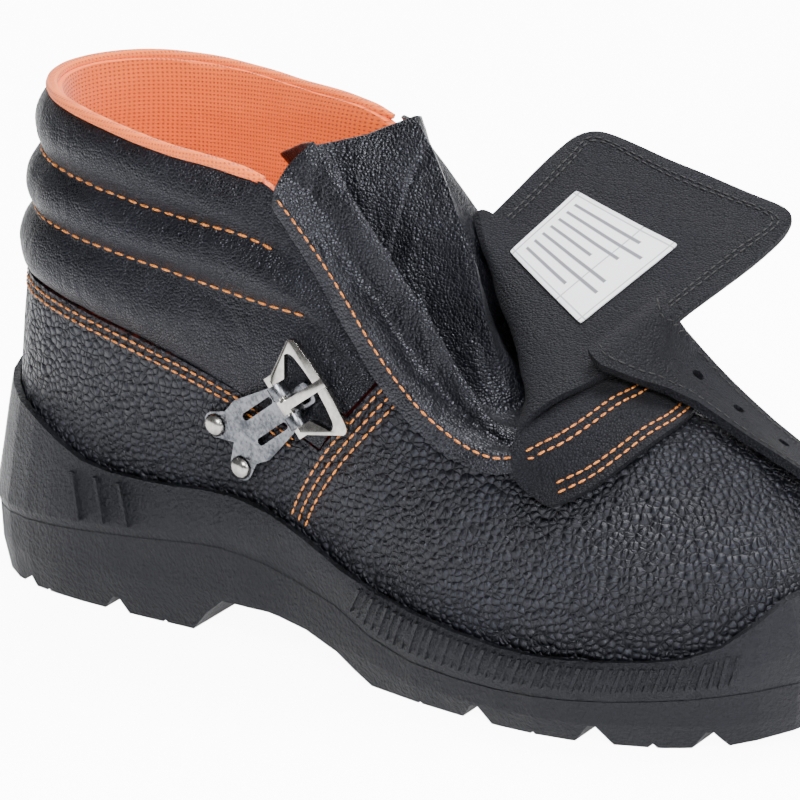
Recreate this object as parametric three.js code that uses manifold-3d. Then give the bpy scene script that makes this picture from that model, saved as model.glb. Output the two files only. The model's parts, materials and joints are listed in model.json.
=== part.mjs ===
// Welding safety boot, right foot, in millimetres.
// +X is the toe, -Y the outer side of the foot, +Z up.
// The origin is the ground point under the middle of the heel.
import * as THREE from 'three';
import { mergeVertices } from 'three/addons/utils/BufferGeometryUtils.js';
import Module from 'manifold-3d';

const wasm = await Module();
wasm.setup();

// Main sizes
const soleLength = 300;
const heelBack = 41; // rear of the sole behind the origin
const ballWidth = 112;
const bootHeight = 160; // collar rim above the ground
const heelDepth = 26; // footbed above the ground at the heel
const soleSpread = 7.5; // sole edge outside the feather line of the last
const clearance = 0.35; // between neighbouring pieces
const lapGap = 0.7; // under lapped sheets, whose facets differ from those below

// Leathers and padding
const quarterWall = 2.2;
const vampWall = 2.3;
const vampStep = 1.3; // the vamp laps over the quarter by this much
const collarPad = 6;
const collarEdge = 3; // the collar's wall along its sewn edges
const rollBulge = 4.4;
const gussetLeather = 1.4;
const gussetMargin = 6; // sewn edge of the gusset, over the throat's edge
const flapLeather = 2.2;
const strapLeather = 2.6;
const insoleThick = 4;

// Sole
const lipThick = 2.2;
const ridgeRise = 3;
const ridgeProud = 0.8;
const lugDraft = 3;
const interfaceInset = 2.5;
const notchDepth = 6.5;
const notchWide = 7;
const notchSlant = 2.4;
const channelWide = 7;
const channelDepth = 4.5;
const ribPitch = 5.8;
const ribProud = 1;
const ribWide = 2.4;
const ribSlant = 3;
const counterHigh = 14;
const counterWide = 2.4;
const counterSlant = 5;

// Flap's label, strap and buckle
const labelThick = 0.5;
const holeBore = 4;
const holePitch = 17;
const holeCount = 4;
const plateThick = 1.1;
const plateWide = 21;
const slotWide = 2.4;
const rivetSpan = 15.1;
const rivetHead = 7.4;
const rivetDome = 2.2;
const rivetBore = 3.4;
const barRadius = 1.5;
const barPlay = 0.2; // round the buckle's bar
const knuckleLong = 4.2;
const sleeveLong = 4.6;
const frameWire = 3.2;
const frameThick = 2.4;
const frameWide = 21;
const frameFar = 33;
const frameDeep = 17;
const prongWide = 3;
const restTilt = 17; // degrees that the frame and the prong lean to the boot at rest

// Places along the boot are shares of the sole's length from its rear, sideways
// shares of the ball's width, and heights shares of the boot's height.
const along = (share) => share * soleLength - heelBack;
const shareOf = (x) => (x + heelBack) / soleLength;
const place = (x, y, z) => new THREE.Vector3(along(x), y * ballWidth, z * bootHeight);
const lerp = THREE.MathUtils.lerp;
const clamp = THREE.MathUtils.clamp;

// A smooth value from a table of rows, between the shares in its first column.
function curveAt(rows, key, share) {
  const last = rows.length - 1;
  const s = clamp(share, rows[0].at, rows[last].at);
  let i = 0;
  while (i < last - 1 && s > rows[i + 1].at) i += 1;
  const slope = (k) => {
    const lo = rows[Math.max(k - 1, 0)];
    const hi = rows[Math.min(k + 1, last)];
    return (hi[key] - lo[key]) / (hi.at - lo.at);
  };
  const step = rows[i + 1].at - rows[i].at;
  const f = (s - rows[i].at) / step;
  const f2 = f * f;
  const f3 = f2 * f;
  return (2 * f3 - 3 * f2 + 1) * rows[i][key] + (f3 - 2 * f2 + f) * step * slope(i)
    + (3 * f2 - 2 * f3) * rows[i + 1][key] + (f3 - f2) * step * slope(i + 1);
}

// The sole from the heel to the toe. Heights are shares of the heel's depth:
// footbed, line between outsole and wall, lip of the wall, and the interface inside.
// full: how far the wall stays thick towards its lip, rib: height of the ribbed band.
const soleRows = [
  { at: 0.027, bed: 1, parting: 0.85, lip: 2.52, inside: 0.6, full: 0.8, rib: 0 },
  { at: 0.1, bed: 1, parting: 0.9, lip: 2.15, inside: 0.6, full: 0.8, rib: 0 },
  { at: 0.163, bed: 1, parting: 0.97, lip: 1.8, inside: 0.6, full: 0.9, rib: 0 },
  { at: 0.257, bed: 1, parting: 1.08, lip: 1.75, inside: 0.62, full: 1.2, rib: 0 },
  { at: 0.33, bed: 0.97, parting: 1.17, lip: 1.82, inside: 0.64, full: 1.6, rib: 0 },
  { at: 0.383, bed: 0.89, parting: 1.14, lip: 1.78, inside: 0.63, full: 2.2, rib: 0 },
  { at: 0.43, bed: 0.8, parting: 1.05, lip: 1.68, inside: 0.58, full: 2.6, rib: 0 },
  { at: 0.493, bed: 0.69, parting: 0.92, lip: 1.4, inside: 0.46, full: 2.6, rib: 0.36 },
  { at: 0.547, bed: 0.61, parting: 0.67, lip: 1.25, inside: 0.37, full: 2.4, rib: 0.42 },
  { at: 0.597, bed: 0.58, parting: 0.54, lip: 1.15, inside: 0.33, full: 2.2, rib: 0.46 },
  { at: 0.7, bed: 0.56, parting: 0.5, lip: 1.0, inside: 0.31, full: 2.2, rib: 0.4 },
  { at: 0.8, bed: 0.59, parting: 0.56, lip: 1.02, inside: 0.33, full: 2.2, rib: 0.38 },
  { at: 0.88, bed: 0.66, parting: 0.66, lip: 1.14, inside: 0.38, full: 1.8, rib: 0.36 },
  { at: 0.92, bed: 0.72, parting: 0.74, lip: 1.4, inside: 0.42, full: 1.2, rib: 0.3 },
  { at: 0.95, bed: 0.77, parting: 0.8, lip: 1.76, inside: 0.46, full: 1, rib: 0 },
  { at: 0.973, bed: 0.81, parting: 0.85, lip: 1.84, inside: 0.5, full: 0.9, rib: 0 },
];
const soleAt = (key, share) => curveAt(soleRows, key, share) * heelDepth;

// Sections of the last, from the back of the heel to the tip of the toe.
// base: its start on the feather line. top: its end on the collar's rim, on the
// edge of the throat or on the throat's front. out, rise: how it swells at its
// foot. back, flare, drop: how it arrives, as lengths from its end.
const lastRows = [
  { baseX: 0.027, outer: 0, inner: 0, topX: 0.07, topY: 0, topZ: 1, out: 0.009, rise: 0.27, back: 0.027, flare: 0, drop: 0.28 },
  { baseX: 0.038, outer: 0.134, inner: 0.134, topX: 0.083, topY: 0.125, topZ: 1, out: 0.014, rise: 0.27, back: 0.023, flare: 0.03, drop: 0.28 },
  { baseX: 0.073, outer: 0.232, inner: 0.223, topX: 0.117, topY: 0.232, topZ: 0.997, out: 0.027, rise: 0.27, back: 0.02, flare: 0.04, drop: 0.27 },
  { baseX: 0.127, outer: 0.277, inner: 0.263, topX: 0.167, topY: 0.3, topZ: 0.99, out: 0.04, rise: 0.275, back: 0.013, flare: 0.03, drop: 0.27 },
  { baseX: 0.197, outer: 0.295, inner: 0.268, topX: 0.227, topY: 0.335, topZ: 0.975, out: 0.054, rise: 0.28, back: 0.007, flare: 0.01, drop: 0.27 },
  { baseX: 0.277, outer: 0.299, inner: 0.254, topX: 0.303, topY: 0.344, topZ: 0.955, out: 0.063, rise: 0.28, back: 0.007, flare: 0.005, drop: 0.26 },
  { baseX: 0.343, outer: 0.304, inner: 0.25, topX: 0.393, topY: 0.33, topZ: 0.93, out: 0.07, rise: 0.275, back: 0.01, flare: 0.03, drop: 0.25 },
  { baseX: 0.377, outer: 0.3125, inner: 0.254, topX: 0.467, topY: 0.335, topZ: 0.7875, out: 0.085, rise: 0.25, back: 0.02, flare: 0.055, drop: 0.165 },
  { baseX: 0.417, outer: 0.321, inner: 0.268, topX: 0.547, topY: 0.34, topZ: 0.6, out: 0.1, rise: 0.19, back: 0.046, flare: 0.08, drop: 0.11 },
  { baseX: 0.497, outer: 0.37, inner: 0.308, topX: 0.607, topY: 0.33, topZ: 0.505, out: 0.105, rise: 0.165, back: 0.036, flare: 0.1, drop: 0.094 },
  { baseX: 0.597, outer: 0.429, inner: 0.37, topX: 0.657, topY: 0.325, topZ: 0.472, out: 0.105, rise: 0.16, back: 0.02, flare: 0.11, drop: 0.09 },
  { baseX: 0.697, outer: 0.455, inner: 0.42, topX: 0.693, topY: 0.277, topZ: 0.485, out: 0.1, rise: 0.165, back: 0, flare: 0.12, drop: 0.065 },
  { baseX: 0.77, outer: 0.442, inner: 0.429, topX: 0.707, topY: 0.228, topZ: 0.51, out: 0.1, rise: 0.17, back: -0.027, flare: 0.13, drop: 0.055 },
  { baseX: 0.843, outer: 0.38, inner: 0.397, topX: 0.714, topY: 0.17, topZ: 0.53, out: 0.105, rise: 0.19, back: -0.06, flare: 0.125, drop: 0.042 },
  { baseX: 0.905, outer: 0.302, inner: 0.335, topX: 0.717, topY: 0.107, topZ: 0.545, out: 0.115, rise: 0.22, back: -0.097, flare: 0.107, drop: 0.03 },
  { baseX: 0.952, outer: 0.19, inner: 0.212, topX: 0.719, topY: 0.054, topZ: 0.552, out: 0.12, rise: 0.25, back: -0.123, flare: 0.06, drop: 0.028 },
  { baseX: 0.973, outer: -0.018, inner: 0.018, topX: 0.72, topY: 0, topZ: 0.555, out: 0.115, rise: 0.26, back: -0.14, flare: 0, drop: 0.025 },
];
const toeRow = lastRows.length - 1;
const around = 2 * toeRow; // sections in the whole loop, outer side first
const rimEnd = 6; // section at the front end of the collar's rim
const seamRow = 7.9; // section that the vamp's rear edge follows
const cornerRow = 11; // section at the throat's front corner
const onOuter = (row) => row <= toeRow;
const rowOf = (i) => (i <= toeRow ? i : around - i);

const lastLoop = [];
for (let i = 0; i < around; i += 1) {
  const row = lastRows[rowOf(i)];
  const side = onOuter(i) ? -1 : 1;
  const width = onOuter(i) ? row.outer : row.inner;
  const base = new THREE.Vector3(along(row.baseX), side * width * ballWidth, soleAt('bed', row.baseX));
  const top = new THREE.Vector3(along(row.topX), side * row.topY * ballWidth, row.topZ * bootHeight);
  lastLoop.push({ row, side, base, top });
}
const loopEntry = (i) => lastLoop[((i % around) + around) % around];
lastLoop.forEach((entry, i) => {
  const run = loopEntry(i + 1).base.clone().sub(loopEntry(i - 1).base);
  const away = new THREE.Vector3(run.y, -run.x, 0).normalize();
  entry.low = entry.base.clone().addScaledVector(away, entry.row.out * ballWidth);
  entry.low.z += entry.row.rise * bootHeight;
  const flare = entry.side * entry.row.flare * ballWidth;
  const arrive = new THREE.Vector3(-entry.row.back * soleLength, flare, -entry.row.drop * bootHeight);
  entry.high = entry.top.clone().add(arrive);
});

function blendPoint(key, a) {
  const i = Math.floor(a);
  const f = a - i;
  const weights = [
    (-f + 2 * f * f - f * f * f) / 2,
    (2 - 5 * f * f + 3 * f * f * f) / 2,
    (f + 4 * f * f - 3 * f * f * f) / 2,
    (f * f * f - f * f) / 2,
  ];
  const point = new THREE.Vector3();
  weights.forEach((w, k) => point.addScaledVector(loopEntry(i - 1 + k)[key], w));
  return point;
}

// The last's surface: a runs round the foot, t from the feather line to the top.
function skin(a, t) {
  const s = 1 - t;
  return blendPoint('base', a).multiplyScalar(s * s * s)
    .addScaledVector(blendPoint('low', a), 3 * s * s * t)
    .addScaledVector(blendPoint('high', a), 3 * s * t * t)
    .addScaledVector(blendPoint('top', a), t * t * t);
}

function skinNormal(a, t) {
  const h = 0.02;
  const t0 = Math.max(t - h, 0);
  const t1 = Math.min(t + h, 1);
  const round = skin(a + h, t).sub(skin(a - h, t));
  const up = skin(a, t1).sub(skin(a, t0));
  return round.cross(up).normalize();
}
const skinOut = (a, t, d) => skin(a, t).addScaledVector(skinNormal(a, t), d);

function planNormal(a) {
  const run = blendPoint('base', a + 0.05).sub(blendPoint('base', a - 0.05));
  return new THREE.Vector3(run.y, -run.x, 0).normalize();
}
const baseOut = (a, d, z) => {
  const p = blendPoint('base', a).addScaledVector(planNormal(a), d);
  p.z = z;
  return p;
};
const baseShare = (a) => shareOf(blendPoint('base', a).x);

// Where a section crosses a line that is given by its height at each place along.
function crossing(a, heightAt) {
  let lo = 0;
  let hi = 1;
  for (let i = 0; i < 30; i += 1) {
    const mid = (lo + hi) / 2;
    const p = skin(a, mid);
    if (p.z < heightAt(shareOf(p.x))) lo = mid;
    else hi = mid;
  }
  return (lo + hi) / 2;
}

// Faces of a grid of columns, pointing outwards where the columns run round the
// foot and each column runs up.
function quad(faces, a, b, c, d) {
  if (a.distanceToSquared(c) <= b.distanceToSquared(d)) faces.push([a, b, c], [a, c, d]);
  else faces.push([a, b, d], [b, c, d]);
}
function gridFaces(faces, grid, closed, flip = false) {
  const count = closed ? grid.length : grid.length - 1;
  for (let i = 0; i < count; i += 1) {
    const p = grid[i];
    const q = grid[(i + 1) % grid.length];
    for (let k = 0; k < p.length - 1; k += 1) {
      if (flip) quad(faces, p[k], p[k + 1], q[k + 1], q[k]);
      else quad(faces, p[k], q[k], q[k + 1], p[k + 1]);
    }
  }
}
function solidOfFaces(faces) {
  const positions = [];
  faces.forEach((face) => face.forEach((p) => positions.push(p.x, p.y, p.z)));
  const loose = new THREE.BufferGeometry();
  loose.setAttribute('position', new THREE.Float32BufferAttribute(positions, 3));
  const merged = mergeVertices(loose, 0.002);
  const index = merged.index.array;
  const kept = [];
  for (let i = 0; i < index.length; i += 3) {
    const [a, b, c] = [index[i], index[i + 1], index[i + 2]];
    if (a !== b && b !== c && c !== a) kept.push(a, b, c);
  }
  merged.setIndex(kept);
  return merged;
}
// A wall between an outer and an inner grid, open at both ends of its columns.
function wallSolid(outer, inner, closed) {
  const faces = [];
  gridFaces(faces, outer, closed);
  gridFaces(faces, inner, closed, true);
  const foot = outer.map((column, i) => [inner[i][0], column[0]]);
  const head = outer.map((column, i) => [column[column.length - 1], inner[i][column.length - 1]]);
  gridFaces(faces, foot, closed);
  gridFaces(faces, head, closed);
  if (!closed) {
    const ends = [[outer[0], inner[0], true], [outer[outer.length - 1], inner[outer.length - 1], false]];
    ends.forEach(([o, n, flip]) => {
      for (let k = 0; k < o.length - 1; k += 1) {
        if (flip) quad(faces, o[k], o[k + 1], n[k + 1], n[k]);
        else quad(faces, o[k], n[k], n[k + 1], o[k + 1]);
      }
    });
  }
  return solidOfFaces(faces);
}
// A solid between chains that all start and end on a line down its middle.
function spineSolid(chains) {
  const faces = [];
  gridFaces(faces, chains, true);
  return solidOfFaces(faces);
}
// A sheet of even thickness about the middle surface that the faces give.
function thickened(faces, thick) {
  const middle = solidOfFaces(faces);
  middle.computeVertexNormals();
  const points = middle.attributes.position;
  const normals = middle.attributes.normal;
  const shifted = (k, d) => new THREE.Vector3().fromBufferAttribute(normals, k)
    .multiplyScalar(d).add(new THREE.Vector3().fromBufferAttribute(points, k));
  const index = middle.index.array;
  const edges = new Set();
  for (let i = 0; i < index.length; i += 3) {
    for (let k = 0; k < 3; k += 1) edges.add(`${index[i + k]} ${index[i + ((k + 1) % 3)]}`);
  }
  const outer = (k) => shifted(k, thick / 2);
  const inner = (k) => shifted(k, -thick / 2);
  const shell = [];
  for (let i = 0; i < index.length; i += 3) {
    const [a, b, c] = [index[i], index[i + 1], index[i + 2]];
    shell.push([outer(a), outer(b), outer(c)], [inner(a), inner(c), inner(b)]);
    [[a, b], [b, c], [c, a]].forEach(([from, to]) => {
      if (!edges.has(`${to} ${from}`)) {
        shell.push([outer(to), outer(from), inner(from)], [outer(to), inner(from), inner(to)]);
      }
    });
  }
  return solidOfFaces(shell);
}
function sheetSolid(grid, thick) {
  const faces = [];
  gridFaces(faces, grid, false);
  return thickened(faces, thick);
}

function toManifold(geometry) {
  const plain = geometry.clone();
  plain.deleteAttribute('normal');
  plain.deleteAttribute('uv');
  const merged = mergeVertices(plain, 1e-4);
  const mesh = new wasm.Mesh({
    numProp: 3,
    vertProperties: merged.attributes.position.array,
    triVerts: new Uint32Array(merged.index.array),
  });
  mesh.merge();
  return new wasm.Manifold(mesh);
}
function fromManifold(solid) {
  const mesh = solid.getMesh();
  const geometry = new THREE.BufferGeometry();
  geometry.setAttribute('position', new THREE.Float32BufferAttribute(mesh.vertProperties, 3));
  geometry.setIndex([...mesh.triVerts]);
  return geometry;
}
const joined = (...parts) => fromManifold(parts.map(toManifold).reduce((all, one) => all.add(one)));
const cutBy = (geometry, cutters) => fromManifold(
  cutters.map(toManifold).reduce((rest, one) => rest.subtract(one), toManifold(geometry)));

// Materials
const finish = (color, roughness, metalness = 0) => (
  new THREE.MeshStandardMaterial({ color, roughness, metalness }));
const blackGrain = finish(0x24262b, 0.5);
const blackSmooth = finish(0x2b2e34, 0.42);
const blackFlesh = finish(0x303138, 0.8);
const blackRubber = finish(0x1c1d20, 0.7);
const orangeLining = finish(0xe8853a, 0.85);
const whiteCloth = finish(0xe9ebf0, 0.8);
const brightSteel = finish(0xd0ccc6, 0.25, 1);
const greySteel = finish(0x8d949c, 0.4, 1);

const boot = new THREE.Group();
function addPiece(name, geometry, material) {
  geometry.computeVertexNormals();
  const mesh = new THREE.Mesh(geometry, material);
  mesh.name = name;
  boot.add(mesh);
  return mesh;
}

// Sections that all pieces share, so that their facets lie along each other.
const sectionsPerRow = 2;
const sections = [];
for (let i = 0; i < around * sectionsPerRow; i += 1) sections.push(i / sectionsPerRow);
const between = (lo, hi) => {
  const inner = [];
  for (let i = Math.ceil(lo * sectionsPerRow); i <= hi * sectionsPerRow; i += 1) {
    const a = i / sectionsPerRow;
    if (a > lo + 0.1 && a < hi - 0.1) inner.push(a);
  }
  return [lo, ...inner, hi];
};

// Outsole with its heel, arch, toe spring and lugs
const spineRear = 0.1;
const spineFront = 0.86;
function spineShare(a) {
  return clamp(baseShare(onOuter(a) ? a : around - a), spineRear, spineFront);
}
const spinePoint = (a, key, lift) => {
  const share = spineShare(a);
  return new THREE.Vector3(along(share), 0, soleAt(key, share) + lift);
};
function outsoleChain(a) {
  const share = baseShare(a);
  const parting = soleAt('parting', share) - clearance / 2;
  const spine = along(spineShare(a));
  return [
    new THREE.Vector3(spine, 0, 0),
    baseOut(a, soleSpread - lugDraft, 0),
    baseOut(a, soleSpread - 0.2 * lugDraft, 0.5 * parting),
    baseOut(a, soleSpread, parting),
    baseOut(a, interfaceInset, soleAt('inside', share) - clearance / 2),
    spinePoint(a, 'inside', -clearance / 2),
  ];
}
// Ground clearance under the sole, as shares of the length and of the heel's depth
const groundRows = [
  { at: 0, lift: 0.13 },
  { at: 0.035, lift: 0 },
  { at: 0.3, lift: 0 },
  { at: 0.318, lift: 0.26 },
  { at: 0.34, lift: 0.48 },
  { at: 0.4, lift: 0.5 },
  { at: 0.45, lift: 0.44 },
  { at: 0.49, lift: 0.3 },
  { at: 0.535, lift: 0 },
  { at: 0.86, lift: 0 },
  { at: 0.915, lift: 0.05 },
  { at: 0.955, lift: 0.16 },
  { at: 1.0, lift: 0.38 },
];
const cutReach = ballWidth; // cutters run past both sides
// A cutter with one profile in the side view, across the whole sole.
function acrossCutter(outline, yFrom, yTo) {
  const shape = new THREE.Shape(outline.map(([x, z]) => new THREE.Vector2(x, z)));
  const cutter = new THREE.ExtrudeGeometry(shape, { depth: yTo - yFrom, bevelEnabled: false });
  cutter.rotateX(Math.PI / 2);
  cutter.translate(0, yTo, 0);
  return cutter;
}
function groundCutter() {
  const past = 10;
  const outline = [[along(0) - past, -past], [along(1) + past, -past]];
  const rise = [...groundRows].reverse().map((row) => [along(row.at), row.lift * heelDepth]);
  rise[0][0] += past;
  rise[rise.length - 1][0] -= past;
  return acrossCutter([...outline, ...rise], -cutReach, cutReach);
}
// Gaps between the lugs: place along, and size as a share of the widest gap
const notchRows = [
  { at: 0.085, size: 0.62 },
  { at: 0.113, size: 0.22 },
  { at: 0.205, size: 0.92 },
  { at: 0.265, size: 0.22 },
  { at: 0.6, size: 0.22 },
  { at: 0.67, size: 1 },
  { at: 0.734, size: 0.22 },
  { at: 0.797, size: 1 },
  { at: 0.852, size: 0.22 },
  { at: 0.905, size: 0.85 },
];
function notchCutter(row) {
  const ground = curveAt(groundRows, 'lift', row.at) * heelDepth;
  const x = along(row.at);
  const depth = notchDepth * row.size;
  const mouth = (notchWide / 2 + notchSlant) * row.size;
  const foot = (notchWide / 2 - notchSlant) * row.size;
  const below = notchDepth * row.size;
  const flare = 2 * notchSlant * row.size;
  return acrossCutter([
    [x - mouth - flare, ground - below],
    [x + mouth + flare, ground - below],
    [x + foot, ground + depth],
    [x - foot, ground + depth],
  ], -cutReach, cutReach);
}
function channelCutter(from, to) {
  const long = along(to) - along(from);
  const box = new THREE.BoxGeometry(long, channelWide, 2 * channelDepth);
  box.translate(along(from) + long / 2, 0, 0);
  return box;
}
const outsoleBody = spineSolid(sections.map(outsoleChain));
addPiece('outsole', cutBy(outsoleBody, [
  groundCutter(),
  ...notchRows.map(notchCutter),
  channelCutter(0.21, 0.275),
  channelCutter(0.56, 0.9),
]), blackRubber);

// Wall of the sole: heel counter, arch band, ribbed band and toe guard.
// It holds the upper like a cup.
const vampCover = (a) => {
  const row = onOuter(a) ? a : around - a;
  return vampStep * THREE.MathUtils.smoothstep(row, seamRow - 0.5, seamRow - 0.1);
};
const wallSteps = [0, 0.06, 0.14, 0.24, 0.35, 0.47, 0.6, 0.74, 0.88, 1];
function wallPoint(a, f) {
  const share = baseShare(a);
  const lipZ = soleAt('lip', share);
  const footZ = soleAt('parting', share) + ridgeRise;
  const z = lerp(footZ, lipZ, f);
  const t = crossing(a, () => z);
  const seat = vampCover(a) + clearance;
  const foot = baseOut(a, soleSpread + ridgeProud, footZ);
  const onSkin = skinOut(a, crossing(a, () => footZ), seat);
  const footThick = foot.clone().sub(onSkin).dot(planNormal(a));
  const full = curveAt(soleRows, 'full', share);
  const thick = lipThick + (footThick - lipThick) * (1 - f ** full);
  const p = skinOut(a, t, seat).addScaledVector(planNormal(a), thick);
  p.z = z;
  return p;
}
function midsoleChain(a) {
  const share = baseShare(a);
  const seat = vampCover(a) + clearance;
  const partingZ = soleAt('parting', share) + clearance / 2;
  const lipT = crossing(a, () => soleAt('lip', share));
  const inner = [lipT, ...[3, 2, 1].map((k) => Math.min(wallSteps[k], lipT * (0.22 + 0.25 * k)))];
  return [
    spinePoint(a, 'inside', clearance / 2),
    baseOut(a, interfaceInset, soleAt('inside', share) + clearance / 2),
    baseOut(a, soleSpread, partingZ),
    wallPoint(a, 0),
    wallPoint(a, 0.35),
    wallPoint(a, 0.7),
    wallPoint(a, 0.92),
    wallPoint(a, 1),
    ...inner.map((t) => skinOut(a, t, seat)),
    baseOut(a, seat, soleAt('bed', share) - clearance),
    spinePoint(a, 'bed', -clearance),
  ];
}
const ribFrom = 0.52;
const ribTo = 0.915;
// One bar of the wall, slanted and proud of it.
function barSolid(a, lean, high, wide, slant) {
  const foot = wallPoint(a, 0.04);
  const head = wallPoint(a, 0.86);
  const room = head.z - foot.z;
  head.lerp(foot, 1 - Math.min(1, high / room));
  head.addScaledVector(lean, slant);
  const out = planNormal(a);
  const half = lean.clone().multiplyScalar(wide / 2);
  const sunk = 1.6;
  const ring = (p) => [
    p.clone().sub(half).addScaledVector(out, -sunk),
    p.clone().addScaledVector(out, -sunk).add(half),
    p.clone().addScaledVector(out, ribProud).addScaledVector(half, 0.5),
    p.clone().addScaledVector(out, ribProud).addScaledVector(half, -0.5),
  ];
  const low = ring(foot);
  const top = ring(head);
  const faces = [];
  gridFaces(faces, low.map((p, i) => [p, top[i]]), true);
  faces.push([low[0], low[3], low[2]], [low[0], low[2], low[1]]);
  faces.push([top[0], top[1], top[2]], [top[0], top[2], top[3]]);
  return solidOfFaces(faces);
}
function leanAt(a, side) {
  const here = blendPoint('base', side < 0 ? a : around - a);
  const ahead = blendPoint('base', side < 0 ? a + 0.1 : around - a - 0.1);
  return ahead.sub(here).setZ(0).normalize();
}
function ribsOn(side) {
  const ribs = [];
  let a = cornerRow - 3;
  let travelled = 0;
  let previous = blendPoint('base', side < 0 ? a : around - a);
  while (a < toeRow - 1) {
    a += 0.01;
    const here = side < 0 ? a : around - a;
    const p = blendPoint('base', here);
    travelled += p.distanceTo(previous);
    previous = p;
    const share = shareOf(p.x);
    if (travelled >= ribPitch && share > ribFrom && share < ribTo) {
      travelled = 0;
      const high = curveAt(soleRows, 'rib', share) * heelDepth;
      ribs.push(barSolid(here, leanAt(a, side), high, ribWide, ribSlant));
    }
  }
  return ribs;
}
// Slanted bars on the heel counter, by the share of the length where each stands
const counterBars = [0.168, 0.198, 0.228];
function counterBarsOn(side) {
  return counterBars.map((share) => {
    let a = 0;
    while (baseShare(a) < share) a += 0.01;
    return barSolid(side < 0 ? a : around - a, leanAt(a, side), counterHigh, counterWide, -counterSlant);
  });
}
const turned = (geometry) => {
  const index = geometry.index.array;
  for (let i = 0; i < index.length; i += 3) {
    [index[i + 1], index[i + 2]] = [index[i + 2], index[i + 1]];
  }
  return geometry;
};
const midsoleBody = spineSolid(sections.map(midsoleChain));
const outerBars = [...ribsOn(-1), ...counterBarsOn(-1)].map(turned);
addPiece('midsole', joined(midsoleBody, ...outerBars, ...ribsOn(1), ...counterBarsOn(1)), blackRubber);

// Upper: vamp and quarters as one hollow wall, with the vamp lapped over the quarter.
// Its lines across the side, as shares of the length and of the boot's height
const sideLines = [
  { at: 0.03, quarterTop: 0.635, lowerSeam: 0.765, upperSeam: 0.885 },
  { at: 0.1, quarterTop: 0.622, lowerSeam: 0.757, upperSeam: 0.872 },
  { at: 0.19, quarterTop: 0.592, lowerSeam: 0.74, upperSeam: 0.855 },
  { at: 0.28, quarterTop: 0.552, lowerSeam: 0.722, upperSeam: 0.835 },
  { at: 0.37, quarterTop: 0.502, lowerSeam: 0.7, upperSeam: 0.82 },
  { at: 0.46, quarterTop: 0.44, lowerSeam: 0.688, upperSeam: 0.81 },
  { at: 0.55, quarterTop: 0.36, lowerSeam: 0.68, upperSeam: 0.8 },
];
const lineT = (a, key, lift = 0) => crossing(a, (share) => (
  curveAt(sideLines, key, share) * bootHeight + lift));
const footInset = (a, wall, t) => (t === 0 ? baseOut(a, -wall, blendPoint('base', a).z) : null);

const quarterLap = 0.35;
const quarterTs = [0, 0.12, 0.26, 0.42, 0.6, 0.8, 1];
function quarterColumn(a, wall) {
  const top = lineT(a, 'quarterTop');
  return quarterTs.map((f) => footInset(a, wall, f) ?? skinOut(a, f * top, -wall));
}
const quarterSections = between(-seamRow - quarterLap, seamRow + quarterLap);
const quarterShell = wallSolid(
  quarterSections.map((a) => quarterColumn(a, 0)),
  quarterSections.map((a) => quarterColumn(a, quarterWall)), false);
const vampSections = between(seamRow, around - seamRow);
const vampColumn = (a, proud) => wallSteps.map((t) => (
  footInset(a, -proud, t) ?? skinOut(a, t, proud)));
const vampShell = wallSolid(
  vampSections.map((a) => vampColumn(a, vampStep)),
  vampSections.map((a) => vampColumn(a, vampStep - vampWall)), false);
addPiece('upper', joined(vampShell, quarterShell), blackGrain);

// Insole on the footbed, inside the upper
function insoleChain(a) {
  const share = baseShare(a);
  const bed = soleAt('bed', share);
  const inset = -(quarterWall + clearance + 0.2);
  return [
    spinePoint(a, 'bed', 0),
    baseOut(a, inset, bed),
    baseOut(a, inset, bed + insoleThick),
    spinePoint(a, 'bed', insoleThick),
  ];
}
addPiece('insole', spineSolid(sections.map(insoleChain)), orangeLining);

// Padded collar of three rolls
const throatEdge = [];
for (let a = rimEnd; a <= cornerRow; a += 0.25) {
  throatEdge.push(blendPoint('top', a), blendPoint('top', around - a));
}
const toThroat = (p) => Math.min(...throatEdge.map((q) => q.distanceTo(p)));
const softEnd = 18; // the rolls run flat this far before the throat's edge
const collarFront = seamRow - 0.03;
function rollRise(a, t, f) {
  const p = skin(a, t);
  const fade = THREE.MathUtils.smoothstep(toThroat(p), gussetMargin + 1, softEnd);
  return rollBulge * Math.sin(Math.PI * f) ** 0.7 * fade;
}
const rollSteps = 4;
function collarRowTs(a) {
  const foot = lineT(a, 'quarterTop', clearance);
  const room = 1 - foot;
  const lower = Math.min(lineT(a, 'lowerSeam'), foot + 0.66 * room);
  const upper = Math.min(lineT(a, 'upperSeam'), lower + 0.5 * (1 - lower));
  return [foot, lower, upper, 1];
}
function collarColumn(a, outside) {
  const marks = collarRowTs(a);
  const flat = THREE.MathUtils.smoothstep(baseShare(a), 0.2, 0.36);
  const column = [];
  marks.slice(0, -1).forEach((from, roll) => {
    const count = roll === marks.length - 2 ? rollSteps + 1 : rollSteps;
    for (let k = 0; k < count; k += 1) {
      const f = k / rollSteps;
      const t = lerp(from, marks[roll + 1], f);
      const share = (t - marks[0]) / (1 - marks[0]);
      const lowRoll = roll === 0 ? 1 - 0.6 * flat : 1;
      const d = outside ? rollRise(a, t, f) * lowRoll : -lerp(
        collarEdge, collarPad, Math.sin(Math.PI * clamp(share, 0, 1)) ** 0.5);
      column.push(skinOut(a, t, d));
    }
  });
  return column;
}
const collarSections = between(-collarFront, collarFront);
addPiece('collar', wallSolid(
  collarSections.map((a) => collarColumn(a, true)),
  collarSections.map((a) => collarColumn(a, false)), false), blackSmooth);

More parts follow.
